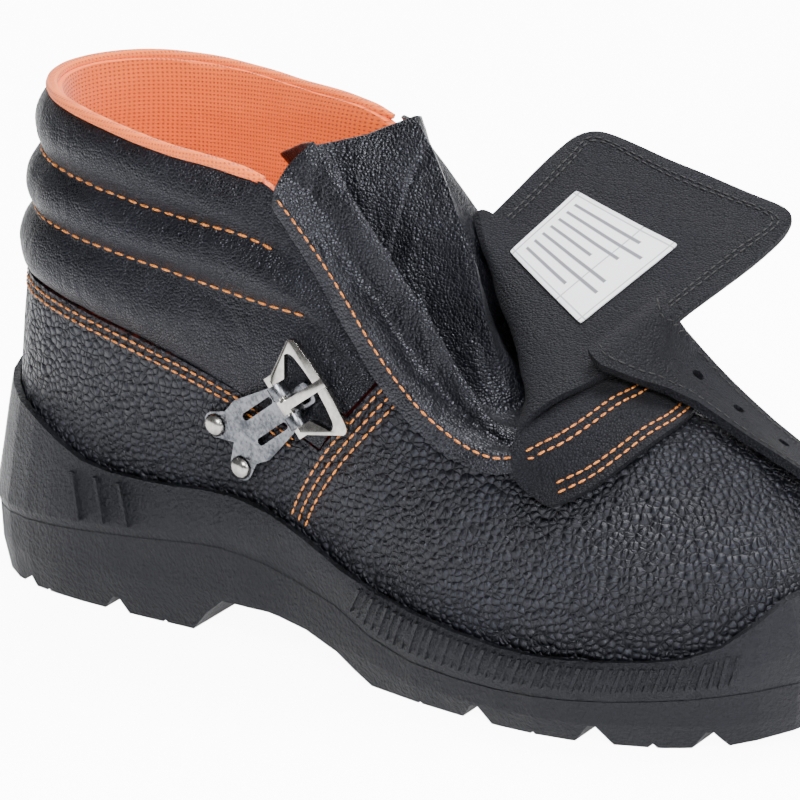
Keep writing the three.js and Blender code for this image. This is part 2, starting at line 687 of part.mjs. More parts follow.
// Gusset: soft leather between the throat's edges, in two standing folds.
// A row for each section: near fold, valley between the folds, the hollow behind
// the far fold, and the far fold itself.
const gussetRows = [
  { at: 6, near: [0.417, -0.268, 1.025], valley: [0.357, -0.143, 0.95], far: [0.473, 0.06, 1.035], hollow: [0.43, 0.24, 0.985] },
  { at: 7, near: [0.503, -0.268, 0.856], valley: [0.443, -0.125, 0.8], far: [0.54, -0.03, 0.89], hollow: [0.497, 0.13, 0.76] },
  { at: 8, near: [0.573, -0.268, 0.663], valley: [0.53, -0.14, 0.625], far: [0.585, -0.09, 0.735], hollow: [0.55, 0.1, 0.615] },
  { at: 9, near: [0.62, -0.268, 0.55], valley: [0.575, -0.15, 0.53], far: [0.608, -0.115, 0.61], hollow: [0.6, 0.09, 0.515] },
  { at: 10, near: [0.645, -0.259, 0.513], valley: [0.613, -0.14, 0.51], far: [0.627, -0.08, 0.525], hollow: [0.635, 0.12, 0.5] },
  { at: 11, near: [0.676, -0.2, 0.52], valley: [0.642, -0.06, 0.515], far: [0.655, 0, 0.522], hollow: [0.66, 0.12, 0.522] },
  { at: 13, near: [0.695, -0.115, 0.537], valley: [0.66, -0.018, 0.522], far: [0.685, 0.05, 0.528], hollow: [0.69, 0.09, 0.537] },
  { at: 16, near: [0.7, 0, 0.543], valley: [0.672, 0, 0.53], far: [0.692, 0, 0.54], hollow: [0.7, 0, 0.543] },
];
function tablePoint(rows, key, at) {
  const axis = (k) => {
    const column = rows.map((row) => ({ at: row.at, value: row[key][k] }));
    return curveAt(column, 'value', at);
  };
  return place(axis(0), axis(1), axis(2));
}
const gussetPoint = (key, row) => tablePoint(gussetRows, key, row);
const gussetLift = lapGap + gussetLeather / 2;
const gussetOver = 5.2; // it runs on past the throat's edge before it folds
const edgeRaise = 1.5; // it stands this much further off at the throat's edge
const marginLong = (a) => blendPoint('top', a).distanceTo(blendPoint('high', a)) * 3;
function marginPoint(a, back) {
  const row = onOuter(a) ? a : around - a;
  const lap = THREE.MathUtils.smoothstep(row, seamRow - 0.9, seamRow - 0.3) * vampStep;
  const raise = edgeRaise * (1 - clamp(back / gussetMargin, 0, 1));
  return skinOut(a, 1 - back / marginLong(a), lap + gussetLift + raise);
}
const foldSteps = 6;
function gussetColumn(a) {
  const row = onOuter(a) ? a : around - a;
  const valley = gussetPoint('valley', row);
  const folds = onOuter(a)
    ? [gussetPoint('near', row), valley]
    : [gussetPoint('hollow', row), gussetPoint('far', row), valley];
  const edge = marginPoint(a, 0);
  const over = marginPoint(a, -gussetOver);
  const beyond = gussetPoint(onOuter(a) ? 'far' : 'near', row);
  const stops = [edge, over, ...folds, beyond];
  const curve = new THREE.CatmullRomCurve3(stops);
  const points = [marginPoint(a, gussetMargin), marginPoint(a, gussetMargin / 2), edge];
  for (let k = 0; k < foldSteps; k += 1) {
    points.push(curve.getPoint((1 + (k / foldSteps) * folds.length) / (stops.length - 1)));
  }
  return [...points, valley];
}
// Sections of one side, closest at the throat's front corner
const gussetRowsAt = [
  rimEnd + 0.12, 6.5, 7, 7.5, 8, 8.5, 9.25, 10, 10.5, 11, 11.5, 12, 12.5, 13, 14, 15, toeRow,
];
const gussetAt = [
  ...gussetRowsAt,
  ...gussetRowsAt.slice(0, -1).reverse().map((row) => around - row),
];
addPiece('gusset', sheetSolid(gussetAt.map(gussetColumn), gussetLeather), blackSmooth);

// Flap: sewn on the vamp along its front, lifted over the gusset, folded back and
// spread open over the inner side. at: from its outer front corner to its inner
// rear one. frontA, frontT: its sewn edge on the last, liftA, liftT: where it lifts.
const flapSewn = [
  { at: 0, frontA: 11.8, frontT: 0.66, liftA: 10.9, liftT: 0.8 },
  { at: 0.12, frontA: 13, frontT: 0.7, liftA: 12.2, liftT: 0.93 },
  { at: 0.25, frontA: 14.4, frontT: 0.765, liftA: 14, liftT: 1 },
  { at: 0.5, frontA: 17.6, frontT: 0.81, liftA: 18.4, liftT: 1 },
  { at: 0.75, frontA: 21.5, frontT: 0.86, liftA: 22.6, liftT: 1 },
  { at: 1, frontA: 24.5, frontT: 0.93, liftA: 24.7, liftT: 1 },
];
const flapRows = [
  { at: 0, leave: [0.663, -0.357, 0.5125], turn: [0.68, -0.268, 0.581], open: [0.723, -0.125, 0.603], end: [0.805, 0.6875, 0.7875] },
  { at: 0.5, leave: [0.603, 0.054, 0.5625], turn: [0.563, -0.018, 0.65], open: [0.613, 0.076, 0.669], end: [0.664, 0.728, 0.831] },
  { at: 1, leave: [0.488, 0.362, 0.775], turn: [0.483, 0.29, 0.79], open: [0.502, 0.3, 0.753], end: [0.522, 0.768, 0.875] },
];
const flapPoint = (key, at) => tablePoint(flapRows, key, at);
const flapLow = vampStep + lapGap + flapLeather / 2;
const flapRaise = 2.7; // it stands this much off the gusset's margin
const flapHigh = flapLow + gussetLeather + lapGap + flapRaise;
const flapCorner = 0.13; // rounding of its free corners, as a share of its width
const sewnSteps = 3;
const foldedSteps = 7;
const roofSteps = 4;
function roofPoint(at, f) {
  const off = Math.max(0, flapCorner - Math.min(at, 1 - at)) / flapCorner;
  const short = flapCorner * (1 - Math.sqrt(1 - off * off));
  return flapPoint('open', at).lerp(flapPoint('end', at), f * (1 - short));
}
function flapOnSkin(a, t) {
  const back = (1 - t) * marginLong(a);
  const f = THREE.MathUtils.smoothstep(back, gussetMargin + 0.8, gussetMargin + 6);
  return skinOut(a, t, lerp(flapHigh, flapLow, f));
}
function flapColumn(at) {
  const sewn = (key) => curveAt(flapSewn, key, at);
  const points = [];
  for (let k = 0; k < sewnSteps; k += 1) {
    const f = k / sewnSteps;
    const a = lerp(sewn('frontA'), sewn('liftA'), f);
    const t = lerp(sewn('frontT'), sewn('liftT'), f);
    points.push(flapOnSkin(a, t));
  }
  const lift = flapOnSkin(sewn('liftA'), sewn('liftT'));
  const fold = new THREE.CubicBezierCurve3(
    lift, flapPoint('leave', at), flapPoint('turn', at), flapPoint('open', at));
  points.push(...fold.getPoints(foldedSteps));
  for (let k = 1; k <= roofSteps; k += 1) points.push(roofPoint(at, k / roofSteps));
  return points;
}
const flapSteps = 12;
const flapGrid = [];
for (let k = 0; k <= flapSteps; k += 1) {
  const even = k / flapSteps;
  flapGrid.push(flapColumn(even - 0.06 * Math.sin(2 * Math.PI * even)));
}
addPiece('flap', sheetSolid(flapGrid, flapLeather), blackFlesh);

// Care label on the opened flap. Corners as shares across and along the open side.
const labelSpots = { left: 0.8, right: 0.27, near: 0.03, far: 0.57, skew: 0.06 };
const labelLift = flapLeather / 2 + clearance + labelThick / 2;
function roofNormal(at) {
  const side = flapPoint('open', at + 0.02).sub(flapPoint('open', at - 0.02));
  const along = flapPoint('end', at).sub(flapPoint('open', at));
  return along.cross(side).normalize();
}
function labelColumn(f) {
  const points = [];
  for (let k = 0; k <= 4; k += 1) {
    const g = k / 4;
    const at = lerp(labelSpots.left, labelSpots.right, f);
    const up = lerp(labelSpots.near, labelSpots.far, g) + labelSpots.skew * f;
    points.push(roofPoint(at, up).addScaledVector(roofNormal(at), labelLift));
  }
  return points;
}
const labelGrid = [0, 0.25, 0.5, 0.75, 1].map(labelColumn);
addPiece('label', sheetSolid(labelGrid, labelThick), whiteCloth);

// Strap: sewn over the opened flap's front edge, run out over the inner side of
// the vamp. Its two edges, from the flap to its tip
const strapRows = [
  { outerEdge: [0.797, 0, 0.573], innerEdge: [0.773, 0.25, 0.5875] },
  { outerEdge: [0.863, 0, 0.52], innerEdge: [0.82, 0.25, 0.521] },
  { outerEdge: [0.929, 0, 0.47], innerEdge: [0.88, 0.25, 0.4525] },
  { outerEdge: [0.997, -0.009, 0.4125], innerEdge: [0.99, 0.241, 0.375] },
];
const strapLift = (flapLeather + strapLeather) / 2 + 3.2 * lapGap;
const strapOnFlap = (at, f) => roofPoint(at, f).addScaledVector(roofNormal(at), strapLift);
const strapEdge = (key, f) => new THREE.CatmullRomCurve3([
  strapOnFlap(0.1, f),
  strapOnFlap(0, f),
  ...strapRows.map((row) => place(...row[key])),
]);
const strapOuter = strapEdge('outerEdge', 0.03);
const strapInner = strapEdge('innerEdge', 0.4);
const strapAcross = 4;
const tipFrom = 0.94;
function strapColumn(f) {
  const round = Math.max(0, f - tipFrom) / (1 - tipFrom);
  const half = 0.5 * Math.sqrt(1 - 0.8 * round * round);
  const points = [];
  for (let k = 0; k <= strapAcross; k += 1) {
    const g = 0.5 + half * (2 * (k / strapAcross) - 1);
    points.push(strapInner.getPoint(f).lerp(strapOuter.getPoint(f), 1 - g));
  }
  return points;
}
const strapStops = [0, 0.1, 0.2, 0.28, 0.36, 0.44, 0.52, 0.61, 0.7, 0.79, 0.88, tipFrom, 0.975, 1];
const strapMiddle = (f) => strapColumn(f)[strapAcross / 2];
const strapRun = strapStops.slice(1).reduce((sum, f, i) => (
  sum + strapMiddle(f).distanceTo(strapMiddle(strapStops[i]))), 0);
const firstHole = 0.4; // share of the strap from its sewn end
function strapHole(n) {
  const f = firstHole + (n * holePitch) / strapRun;
  const column = strapColumn(f);
  const middle = column[strapAcross / 2];
  const axis = strapMiddle(f + 0.03).sub(middle)
    .cross(column[strapAcross].clone().sub(column[0])).normalize();
  const drill = new THREE.CylinderGeometry(holeBore / 2, holeBore / 2, 4 * strapLeather, 10);
  drill.applyQuaternion(new THREE.Quaternion().setFromUnitVectors(new THREE.Vector3(0, 1, 0), axis));
  return drill.translate(middle.x, middle.y, middle.z);
}
const strapHoles = [];
for (let n = 0; n < holeCount; n += 1) strapHoles.push(strapHole(n));
addPiece('strap', cutBy(sheetSolid(strapStops.map(strapColumn), strapLeather), strapHoles), blackFlesh);

// Buckle: a slotted plate with curled knuckles, riveted to the outer side, and a
// frame and a prong that turn on its bar. Parts are drawn along the plate (x),
// across it (y) and away from the boot (z), from the middle of the bar.
const knuckleRadius = barRadius + barPlay + plateThick;
const barAt = skinOut(7.28, 0.585, 5.8);
const rivetsAt = skinOut(6, 0.305, clearance + plateThick / 2 + 0.8);
const acrossPlate = skinOut(5.66, 0.33, 1).sub(skinOut(6.28, 0.25, 1)).normalize();
const sunk = knuckleRadius - plateThick / 2; // plate's middle below the bar's axis
const outwards = barAt.clone().sub(rivetsAt).cross(acrossPlate).normalize();
const alongPlate = barAt.clone().addScaledVector(outwards, -sunk).sub(rivetsAt).normalize();
const away = alongPlate.clone().cross(acrossPlate).normalize();
const acrossTrue = away.clone().cross(alongPlate).normalize();
const plateLong = barAt.clone().sub(rivetsAt).dot(alongPlate);
const onBoot = new THREE.Matrix4().makeBasis(alongPlate, acrossTrue, away).setPosition(barAt);
const mounted = (geometry) => geometry.applyMatrix4(onBoot);
const leaning = (geometry) => geometry.rotateY(THREE.MathUtils.degToRad(restTilt));

function flatPart(shape, thick, middle, segments = 4) {
  const part = new THREE.ExtrudeGeometry(shape, {
    depth: thick, bevelEnabled: false, curveSegments: segments });
  return part.translate(0, 0, middle - thick / 2);
}
function rodAcross(radius, from, to, sides = 10) {
  const rod = new THREE.CylinderGeometry(radius, radius, to - from, sides);
  return rod.translate(0, (from + to) / 2, 0);
}
function slotPath(x0, x1, y, wide) {
  const hole = new THREE.Path();
  hole.absarc(x1, y, wide / 2, -Math.PI / 2, Math.PI / 2, false);
  hole.absarc(x0, y, wide / 2, Math.PI / 2, (3 * Math.PI) / 2, false);
  return hole;
}
const knuckleIn = 3; // from the middle to each knuckle
const knuckleOut = knuckleIn + knuckleLong;
const noseHalf = knuckleOut - 2 * barPlay;
function plateShape() {
  const half = plateWide / 2;
  const lobe = rivetHead / 2 + 0.6;
  const shape = new THREE.Shape();
  const rear = -plateLong;
  shape.moveTo(0, -noseHalf);
  shape.lineTo(rear * 0.62, -half);
  shape.lineTo(rear * 0.8, -half + 1.2);
  shape.absarc(rear, -rivetSpan / 2, lobe, -Math.PI * 0.42, -Math.PI * 1.35, true);
  shape.lineTo(rear + lobe * 0.7, 0);
  shape.absarc(rear, rivetSpan / 2, lobe, Math.PI * 1.35, Math.PI * 0.42, true);
  shape.lineTo(rear * 0.8, half - 1.2);
  shape.lineTo(rear * 0.62, half);
  shape.lineTo(0, noseHalf);
  shape.closePath();
  [-1, 1].forEach((side) => {
    shape.holes.push(slotPath(rear * 0.6, rear * 0.22, side * half * 0.42, slotWide));
    const bore = new THREE.Path();
    bore.absarc(rear, (side * rivetSpan) / 2, rivetBore / 2 + barPlay, 0, 2 * Math.PI, false);
    shape.holes.push(bore);
  });
  return shape;
}
const tabLong = 9.5;
const tabWide = 7;
const tabSunk = sunk + 0.95; // the tab runs below the prong's sleeve
function tabShape() {
  const shape = new THREE.Shape();
  shape.moveTo(-tabWide, -tabWide / 2);
  shape.lineTo(tabLong - 1.5, -tabWide / 2);
  shape.quadraticCurveTo(tabLong, -tabWide / 2, tabLong, 0);
  shape.quadraticCurveTo(tabLong, tabWide / 2, tabLong - 1.5, tabWide / 2);
  shape.lineTo(-tabWide, tabWide / 2);
  shape.closePath();
  shape.holes.push(slotPath(tabLong - 5, tabLong - 3, -tabWide * 0.18, slotWide));
  return shape;
}
const plateBody = joined(
  flatPart(plateShape(), plateThick, -sunk),
  rodAcross(knuckleRadius, -knuckleOut, -knuckleIn),
  rodAcross(knuckleRadius, knuckleIn, knuckleOut));
const barHole = rodAcross(barRadius + barPlay, -plateWide, plateWide);
const sleeveRoom = new THREE.BoxGeometry(4, 2 * knuckleIn - barPlay, 2 * sunk);
sleeveRoom.translate(-1.2, 0, -sunk);
const plateCut = cutBy(plateBody, [barHole, sleeveRoom]);
addPiece('buckle_plate', mounted(joined(
  plateCut, flatPart(tabShape(), plateThick, -tabSunk))), greySteel);

function rivet(side) {
  const half = rivetHead / 2;
  const top = -sunk + plateThick / 2 + barPlay;
  const foot = -sunk - plateThick / 2;
  const profile = [
    [0, foot], [rivetBore / 2, foot], [rivetBore / 2, top], [half, top], [half, top + 0.4],
    [half * 0.8, top + rivetDome * 0.7], [half * 0.45, top + rivetDome * 0.95], [0, top + rivetDome],
  ];
  const lathe = new THREE.LatheGeometry(profile.map(([r, z]) => new THREE.Vector2(r, z)), 12);
  lathe.rotateX(Math.PI / 2);
  return lathe.translate(-plateLong, (side * rivetSpan) / 2, 0);
}
const closedLathe = (geometry) => fromManifold(toManifold(geometry));
addPiece('rivet_rear', mounted(closedLathe(rivet(1))), brightSteel);
addPiece('rivet_front', mounted(closedLathe(rivet(-1))), brightSteel);

function houseShape(inset) {
  const near = frameWide / 2 - inset;
  const far = frameFar / 2 - inset;
  const back = inset - frameWire / 2;
  const front = frameDeep - frameWire / 2 - inset;
  const round = 2.4;
  const shape = new THREE.Shape();
  shape.moveTo(back, near);
  shape.lineTo(back, -near);
  shape.lineTo(back + 3, -near);
  shape.lineTo(front - 3.4, -far);
  shape.quadraticCurveTo(front - 1.6, -far - 0.2, front - 1, -far + round);
  shape.quadraticCurveTo(front + 0.8, 0, front - 1, far - round);
  shape.quadraticCurveTo(front - 1.6, far + 0.2, front - 3.4, far);
  shape.lineTo(back + 3, near);
  shape.closePath();
  return shape;
}
const ringShape = houseShape(0);
ringShape.holes.push(new THREE.Path(houseShape(frameWire).getPoints(5).reverse()));
const barSpan = frameWide / 2 - frameWire / 2;
const ring = flatPart(ringShape, frameThick, 0);
const hollow = new THREE.BoxGeometry(3 * frameWire, 2 * barSpan - frameWire, 2 * frameWire);
addPiece('buckle_frame', mounted(leaning(joined(
  cutBy(ring, [hollow]),
  rodAcross(barRadius - barPlay, -barSpan, barSpan)))), brightSteel);

const sleeve = rodAcross(barRadius + 1, -sleeveLong / 2, sleeveLong / 2);
const prongTip = frameDeep - 0.5;
const prongHeight = frameThick / 2 + barPlay;
const prongSide = new THREE.Shape([
  [0, 0], [0, knuckleRadius], [frameDeep * 0.45, prongHeight + prongWide * 0.7],
  [prongTip, prongHeight + prongWide * 0.55], [prongTip, prongHeight],
  [frameDeep * 0.45, prongHeight],
].map(([x, z]) => new THREE.Vector2(x, z)));
const prongBody = flatPart(prongSide, prongWide, 0).rotateX(Math.PI / 2);
const prongBore = rodAcross(barRadius + barPlay / 2, -plateWide, plateWide);
addPiece('buckle_prong', mounted(leaning(cutBy(joined(sleeve, prongBody), [prongBore]))), brightSteel);

export default boot;
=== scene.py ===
import json
import math

import bmesh
import bpy
from mathutils import Euler, Matrix, Vector, noise
from mathutils.bvhtree import BVHTree

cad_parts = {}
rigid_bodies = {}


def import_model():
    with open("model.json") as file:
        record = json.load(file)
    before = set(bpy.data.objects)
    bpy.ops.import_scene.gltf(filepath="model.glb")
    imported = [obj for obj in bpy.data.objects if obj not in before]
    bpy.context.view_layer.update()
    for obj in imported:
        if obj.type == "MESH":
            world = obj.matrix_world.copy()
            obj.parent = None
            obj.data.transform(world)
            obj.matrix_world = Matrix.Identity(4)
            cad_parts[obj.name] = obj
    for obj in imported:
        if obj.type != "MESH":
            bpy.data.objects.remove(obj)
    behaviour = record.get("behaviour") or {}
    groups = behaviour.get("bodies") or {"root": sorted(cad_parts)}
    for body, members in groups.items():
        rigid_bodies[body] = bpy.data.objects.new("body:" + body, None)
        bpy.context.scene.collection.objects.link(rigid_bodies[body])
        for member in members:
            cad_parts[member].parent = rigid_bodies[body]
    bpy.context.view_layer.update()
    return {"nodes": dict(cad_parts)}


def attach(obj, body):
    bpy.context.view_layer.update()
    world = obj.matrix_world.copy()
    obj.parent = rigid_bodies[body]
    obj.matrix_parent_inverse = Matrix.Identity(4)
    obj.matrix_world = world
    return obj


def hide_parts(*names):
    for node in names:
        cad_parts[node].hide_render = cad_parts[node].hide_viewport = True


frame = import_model()
scene = bpy.context.scene
MM = 0.001

# Seam and edge lines of the boot, in millimetres, from the heel's ground point
LINES = {
    "vamp_outer": [
        (86.3, -43.6, 46.6), (90.1, -44.8, 55.1), (94.6, -45.5, 63.1), (99.6, -45.5, 70.8),
        (104.9, -45.0, 78.0), (110.3, -43.9, 84.8), (115.4, -42.3, 91.2), (120.0, -40.1, 97.1)
    ],
    "vamp_inner": [
        (86.3, 38.8, 46.6), (90.1, 40.8, 55.0), (94.6, 42.3, 63.0), (99.6, 43.2, 70.7),
        (104.9, 43.5, 77.9), (110.2, 43.1, 84.8), (115.3, 42.0, 91.1), (120.0, 40.1, 97.0)
    ],
    "quarter_top": [
        (92.6, 40.7, 72.2), (81.3, 38.3, 76.5), (72.4, 36.6, 79.5), (61.2, 35.9, 83.1),
        (46.6, 36.1, 87.3), (31.8, 36.5, 91.2), (17.8, 36.4, 94.4), (5.1, 35.2, 96.9),
        (-6.2, 32.3, 98.8), (-15.7, 27.3, 100.1), (-22.7, 19.7, 100.8), (-27.2, 10.4, 101.2),
        (-28.9, 0.0, 101.3), (-27.2, -10.4, 101.2), (-22.7, -19.8, 100.8), (-15.7, -27.7, 100.1),
        (-6.3, -32.8, 98.8), (5.0, -36.0, 96.9), (17.6, -37.7, 94.4), (31.7, -38.5, 91.2),
        (46.5, -38.8, 87.4), (61.0, -39.2, 83.2), (72.3, -40.3, 79.6), (81.3, -42.0, 76.5),
        (92.5, -43.5, 72.2)
    ],
    "lower_roll": [
        (94.3, 39.8, 110.2), (81.0, 38.7, 111.1), (68.3, 37.8, 112.2), (53.5, 37.9, 114.1),
        (39.4, 37.9, 115.9), (26.1, 37.6, 117.4), (14.1, 36.7, 118.6), (3.3, 34.6, 119.7),
        (-6.6, 31.1, 120.7), (-14.6, 25.6, 121.4), (-20.6, 18.1, 121.8), (-24.6, 9.4, 122.0),
        (-26.2, 0.0, 122.1), (-24.6, -9.4, 122.0), (-20.7, -18.1, 121.8), (-14.7, -25.7, 121.4),
        (-6.6, -31.3, 120.7), (3.2, -34.9, 119.8), (14.0, -37.1, 118.6), (26.0, -38.3, 117.4),
        (39.3, -38.9, 116.0), (53.4, -39.1, 114.1), (68.2, -39.2, 112.2), (81.0, -39.9, 111.1),
        (94.3, -40.4, 110.2)
    ],
    "upper_roll": [
        (81.7, 38.2, 127.6), (68.0, 38.0, 131.3), (52.6, 38.5, 132.7), (38.7, 38.4, 134.1),
        (26.0, 37.8, 135.6), (14.7, 36.5, 136.9), (4.6, 34.0, 138.0), (-4.7, 30.2, 138.9),
        (-12.3, 24.5, 139.6), (-18.0, 17.2, 140.2), (-21.8, 8.9, 140.6), (-23.3, 0.0, 140.7),
        (-21.8, -8.9, 140.6), (-18.0, -17.2, 140.2), (-12.3, -24.6, 139.7), (-4.7, -30.2, 138.9),
        (4.6, -34.1, 138.0), (14.7, -36.6, 136.9), (26.0, -38.0, 135.6), (38.6, -38.7, 134.1),
        (52.6, -38.8, 132.7), (68.0, -38.4, 131.4), (81.7, -38.6, 127.6)
    ],
    "rim": [
        (75.7, 37.0, 149.4), (59.4, 38.1, 152.2), (44.0, 38.5, 153.6), (30.5, 37.9, 155.5),
        (18.9, 36.2, 157.2), (8.7, 33.5, 158.4), (-0.7, 29.4, 159.2), (-8.5, 23.7, 159.7),
        (-14.6, 16.5, 159.9), (-18.5, 8.5, 160.0), (-20.0, 0.0, 160.0), (-18.5, -8.5, 160.0),
        (-14.6, -16.5, 159.9), (-8.5, -23.7, 159.7), (-0.7, -29.4, 159.2), (8.7, -33.5, 158.4),
        (18.9, -36.2, 157.2), (30.5, -37.9, 155.5), (44.0, -38.5, 153.6), (59.4, -38.1, 152.2),
        (75.7, -37.0, 149.4)
    ],
    "throat": [
        (80.6, -39.8, 146.3), (92.7, -40.1, 134.0), (105.6, -40.9, 119.1), (119.3, -42.1, 102.0),
        (130.8, -41.7, 90.2), (140.3, -40.8, 83.3), (148.6, -40.5, 79.3), (156.7, -40.0, 77.6),
        (163.2, -37.0, 78.6), (167.8, -33.4, 80.8), (169.7, -30.4, 83.1), (172.0, -26.9, 85.6),
        (173.3, -23.0, 87.5), (174.1, -18.9, 89.2), (174.6, -14.6, 90.7), (175.1, -10.7, 91.7),
        (175.5, -7.3, 92.2), (175.7, -3.8, 92.6), (175.8, 0.0, 92.8), (175.7, 3.8, 92.6),
        (175.5, 7.3, 92.2), (175.1, 10.7, 91.7), (174.6, 14.6, 90.7), (174.1, 18.9, 89.2),
        (173.3, 23.0, 87.5), (172.0, 26.9, 85.6), (169.7, 30.4, 83.1), (167.8, 33.5, 80.8),
        (163.3, 37.1, 78.5), (156.7, 40.0, 77.5), (148.6, 40.6, 79.3), (140.3, 40.9, 83.3),
        (130.8, 41.7, 90.2), (119.3, 42.1, 102.0), (105.5, 40.9, 119.1), (92.7, 40.1, 134.0),
        (80.6, 39.8, 146.3)
    ],
    "flap_front": [
        (177.6, -42.6, 69.5), (186.3, -35.8, 74.9), (192.2, -27.2, 80.7), (196.0, -16.9, 85.1),
        (198.8, -5.8, 87.2), (197.3, 6.6, 87.5), (190.8, 17.2, 86.4), (182.4, 28.3, 84.5),
        (171.7, 38.2, 81.1), (160.2, 45.0, 75.7), (145.6, 46.9, 76.7), (131.6, 47.1, 84.8),
        (114.9, 46.9, 102.9)
    ],
    "flap_back": [
        (166.7, -41.3, 76.7), (175.4, -34.7, 83.1), (181.2, -25.8, 88.5), (184.4, -14.9, 91.9),
        (186.6, -4.5, 92.9), (185.2, 7.3, 93.5), (179.4, 17.9, 93.2), (170.3, 27.7, 89.3),
        (159.8, 34.2, 85.6), (149.1, 42.1, 82.8), (137.6, 44.2, 87.6), (126.0, 45.3, 97.2),
        (111.0, 43.8, 115.4)
    ],
    "flap_border": [
        (173.5, -8.3, 98.7), (177.6, 7.2, 103.7), (181.7, 22.6, 108.8), (185.8, 38.0, 113.8),
        (189.9, 53.5, 118.9), (194.0, 68.9, 123.9), (189.2, 73.7, 126.2), (176.5, 75.4, 128.4),
        (163.8, 77.1, 130.6), (151.0, 78.7, 132.8), (138.2, 80.4, 135.0), (125.4, 82.1, 137.2),
        (119.2, 80.4, 137.4), (118.0, 70.9, 133.9), (116.8, 61.5, 130.4), (115.6, 52.1, 126.9),
        (114.4, 42.6, 123.4), (113.2, 33.2, 119.9)
    ],
    "strap_outer": [
        (177.7, 19.9, 113.1), (180.8, 15.5, 112.0), (183.9, 12.6, 110.0), (186.7, 16.1, 104.2),
        (189.6, 22.6, 96.9), (194.2, 25.3, 91.4), (200.1, 25.1, 87.3), (207.4, 24.6, 82.8),
        (215.1, 24.7, 77.9), (223.7, 24.7, 73.2), (236.7, 24.3, 67.8), (246.5, 24.0, 64.3),
        (252.5, 22.2, 62.5), (256.7, 17.8, 62.0)
    ],
    "strap_inner": [
        (171.3, -4.6, 105.1), (174.4, -7.7, 104.1), (177.9, -9.6, 102.8), (184.8, -5.8, 99.0),
        (193.1, 1.2, 94.2), (200.9, 4.1, 90.1), (208.6, 3.9, 86.6), (217.3, 3.4, 82.8),
        (226.1, 3.4, 79.1), (234.9, 3.4, 75.3), (244.6, 3.0, 71.1), (251.2, 2.7, 68.2),
        (254.9, 4.0, 66.2), (257.4, 8.2, 64.0)
    ],
    "label_corners": [
        (123.4, 24.7, 117.2), (160.0, 4.7, 106.1), (170.5, 48.7, 121.1), (128.7, 57.5, 129.2)
    ],
    "outer_ribs": [
        (116.5, -52.1, 22.8), (121.3, -53.9, 32.0), (122.2, -53.5, 20.6), (126.7, -55.1, 30.6),
        (128.2, -54.8, 19.0), (132.4, -56.3, 29.4), (134.2, -56.0, 17.9), (138.2, -57.2, 28.4),
        (140.2, -57.0, 17.3), (144.0, -57.8, 27.6), (146.3, -57.8, 16.8), (149.9, -58.3, 26.8),
        (152.5, -58.4, 16.6), (155.8, -58.6, 26.0), (158.5, -58.9, 16.4), (161.6, -58.9, 25.4),
        (164.8, -59.3, 16.4), (167.8, -58.9, 24.8), (170.7, -59.5, 16.4), (173.7, -58.9, 24.5),
        (177.1, -59.4, 16.6), (179.9, -58.6, 24.4), (183.3, -59.0, 16.8), (186.0, -57.9, 24.5),
        (189.7, -58.1, 17.2), (192.2, -56.8, 24.7), (196.0, -56.8, 17.5), (198.3, -55.2, 24.9),
        (202.3, -55.0, 18.0), (204.4, -53.2, 25.3), (208.2, -53.0, 18.5), (210.1, -51.1, 25.7),
        (213.7, -50.9, 19.0), (215.6, -49.0, 26.2), (219.5, -48.6, 19.7), (221.3, -46.6, 26.9),
        (225.2, -46.2, 20.4), (226.9, -44.1, 28.0), (231.2, -43.2, 21.2), (232.6, -41.1, 29.8),
        (236.5, -39.9, 22.2), (237.9, -37.8, 31.0),
    ],
    "inner_ribs": [
        (116.6, 45.1, 22.8), (121.2, 47.6, 32.0), (122.1, 46.5, 20.6), (126.6, 48.8, 30.6),
        (128.0, 47.9, 19.0), (132.2, 50.0, 29.4), (133.9, 49.3, 17.9), (137.8, 51.0, 28.4),
        (139.7, 50.5, 17.3), (143.4, 52.0, 27.6), (145.7, 51.7, 16.8), (149.2, 52.9, 26.8),
        (151.7, 52.9, 16.6), (155.0, 53.7, 26.0), (157.6, 54.0, 16.4), (160.8, 54.5, 25.4),
        (163.9, 55.0, 16.4), (167.0, 55.1, 24.8), (169.9, 55.8, 16.4), (172.8, 55.6, 24.5),
        (175.9, 56.4, 16.6), (178.8, 56.0, 24.4), (182.5, 56.7, 16.8), (185.3, 56.0, 24.5),
        (188.9, 56.6, 17.2), (191.5, 55.6, 24.7), (195.3, 56.1, 17.6), (197.7, 54.9, 25.0),
        (201.6, 55.2, 18.0), (203.9, 53.9, 25.4), (207.7, 54.1, 18.5), (209.9, 52.6, 25.8),
        (214.0, 52.6, 19.2), (216.1, 50.9, 26.3), (220.1, 51.0, 19.8), (222.1, 49.1, 27.2),
        (226.2, 48.9, 20.6), (228.1, 46.9, 28.4), (232.5, 46.1, 21.5), (233.9, 43.8, 30.5),
        (238.3, 42.4, 22.5), (239.5, 40.0, 30.9),
    ],
}


def line(name):
    return [Vector(p) * MM for p in LINES[name]]


# Selecting and simple mesh steps

def deselect_all():
    for other in scene.objects:
        other.select_set(False)


def pick(piece):
    deselect_all()
    bpy.context.view_layer.objects.active = piece
    piece.select_set(True)


def edit(piece, *steps):
    """Runs edit-mode steps on the whole piece."""
    pick(piece)
    bpy.ops.object.mode_set(mode="EDIT")
    bpy.ops.mesh.select_all(action="SELECT")
    for step in steps:
        step()
    bpy.ops.object.mode_set(mode="OBJECT")


def apply_modifier(piece, kind, **settings):
    pick(piece)
    modifier = piece.modifiers.new(kind.lower(), kind)
    for key, value in settings.items():
        setattr(modifier, key, value)
    bpy.ops.object.modifier_apply(modifier=modifier.name)


def smooth(piece, degrees):
    pick(piece)
    bpy.ops.object.shade_smooth_by_angle(angle=math.radians(degrees))


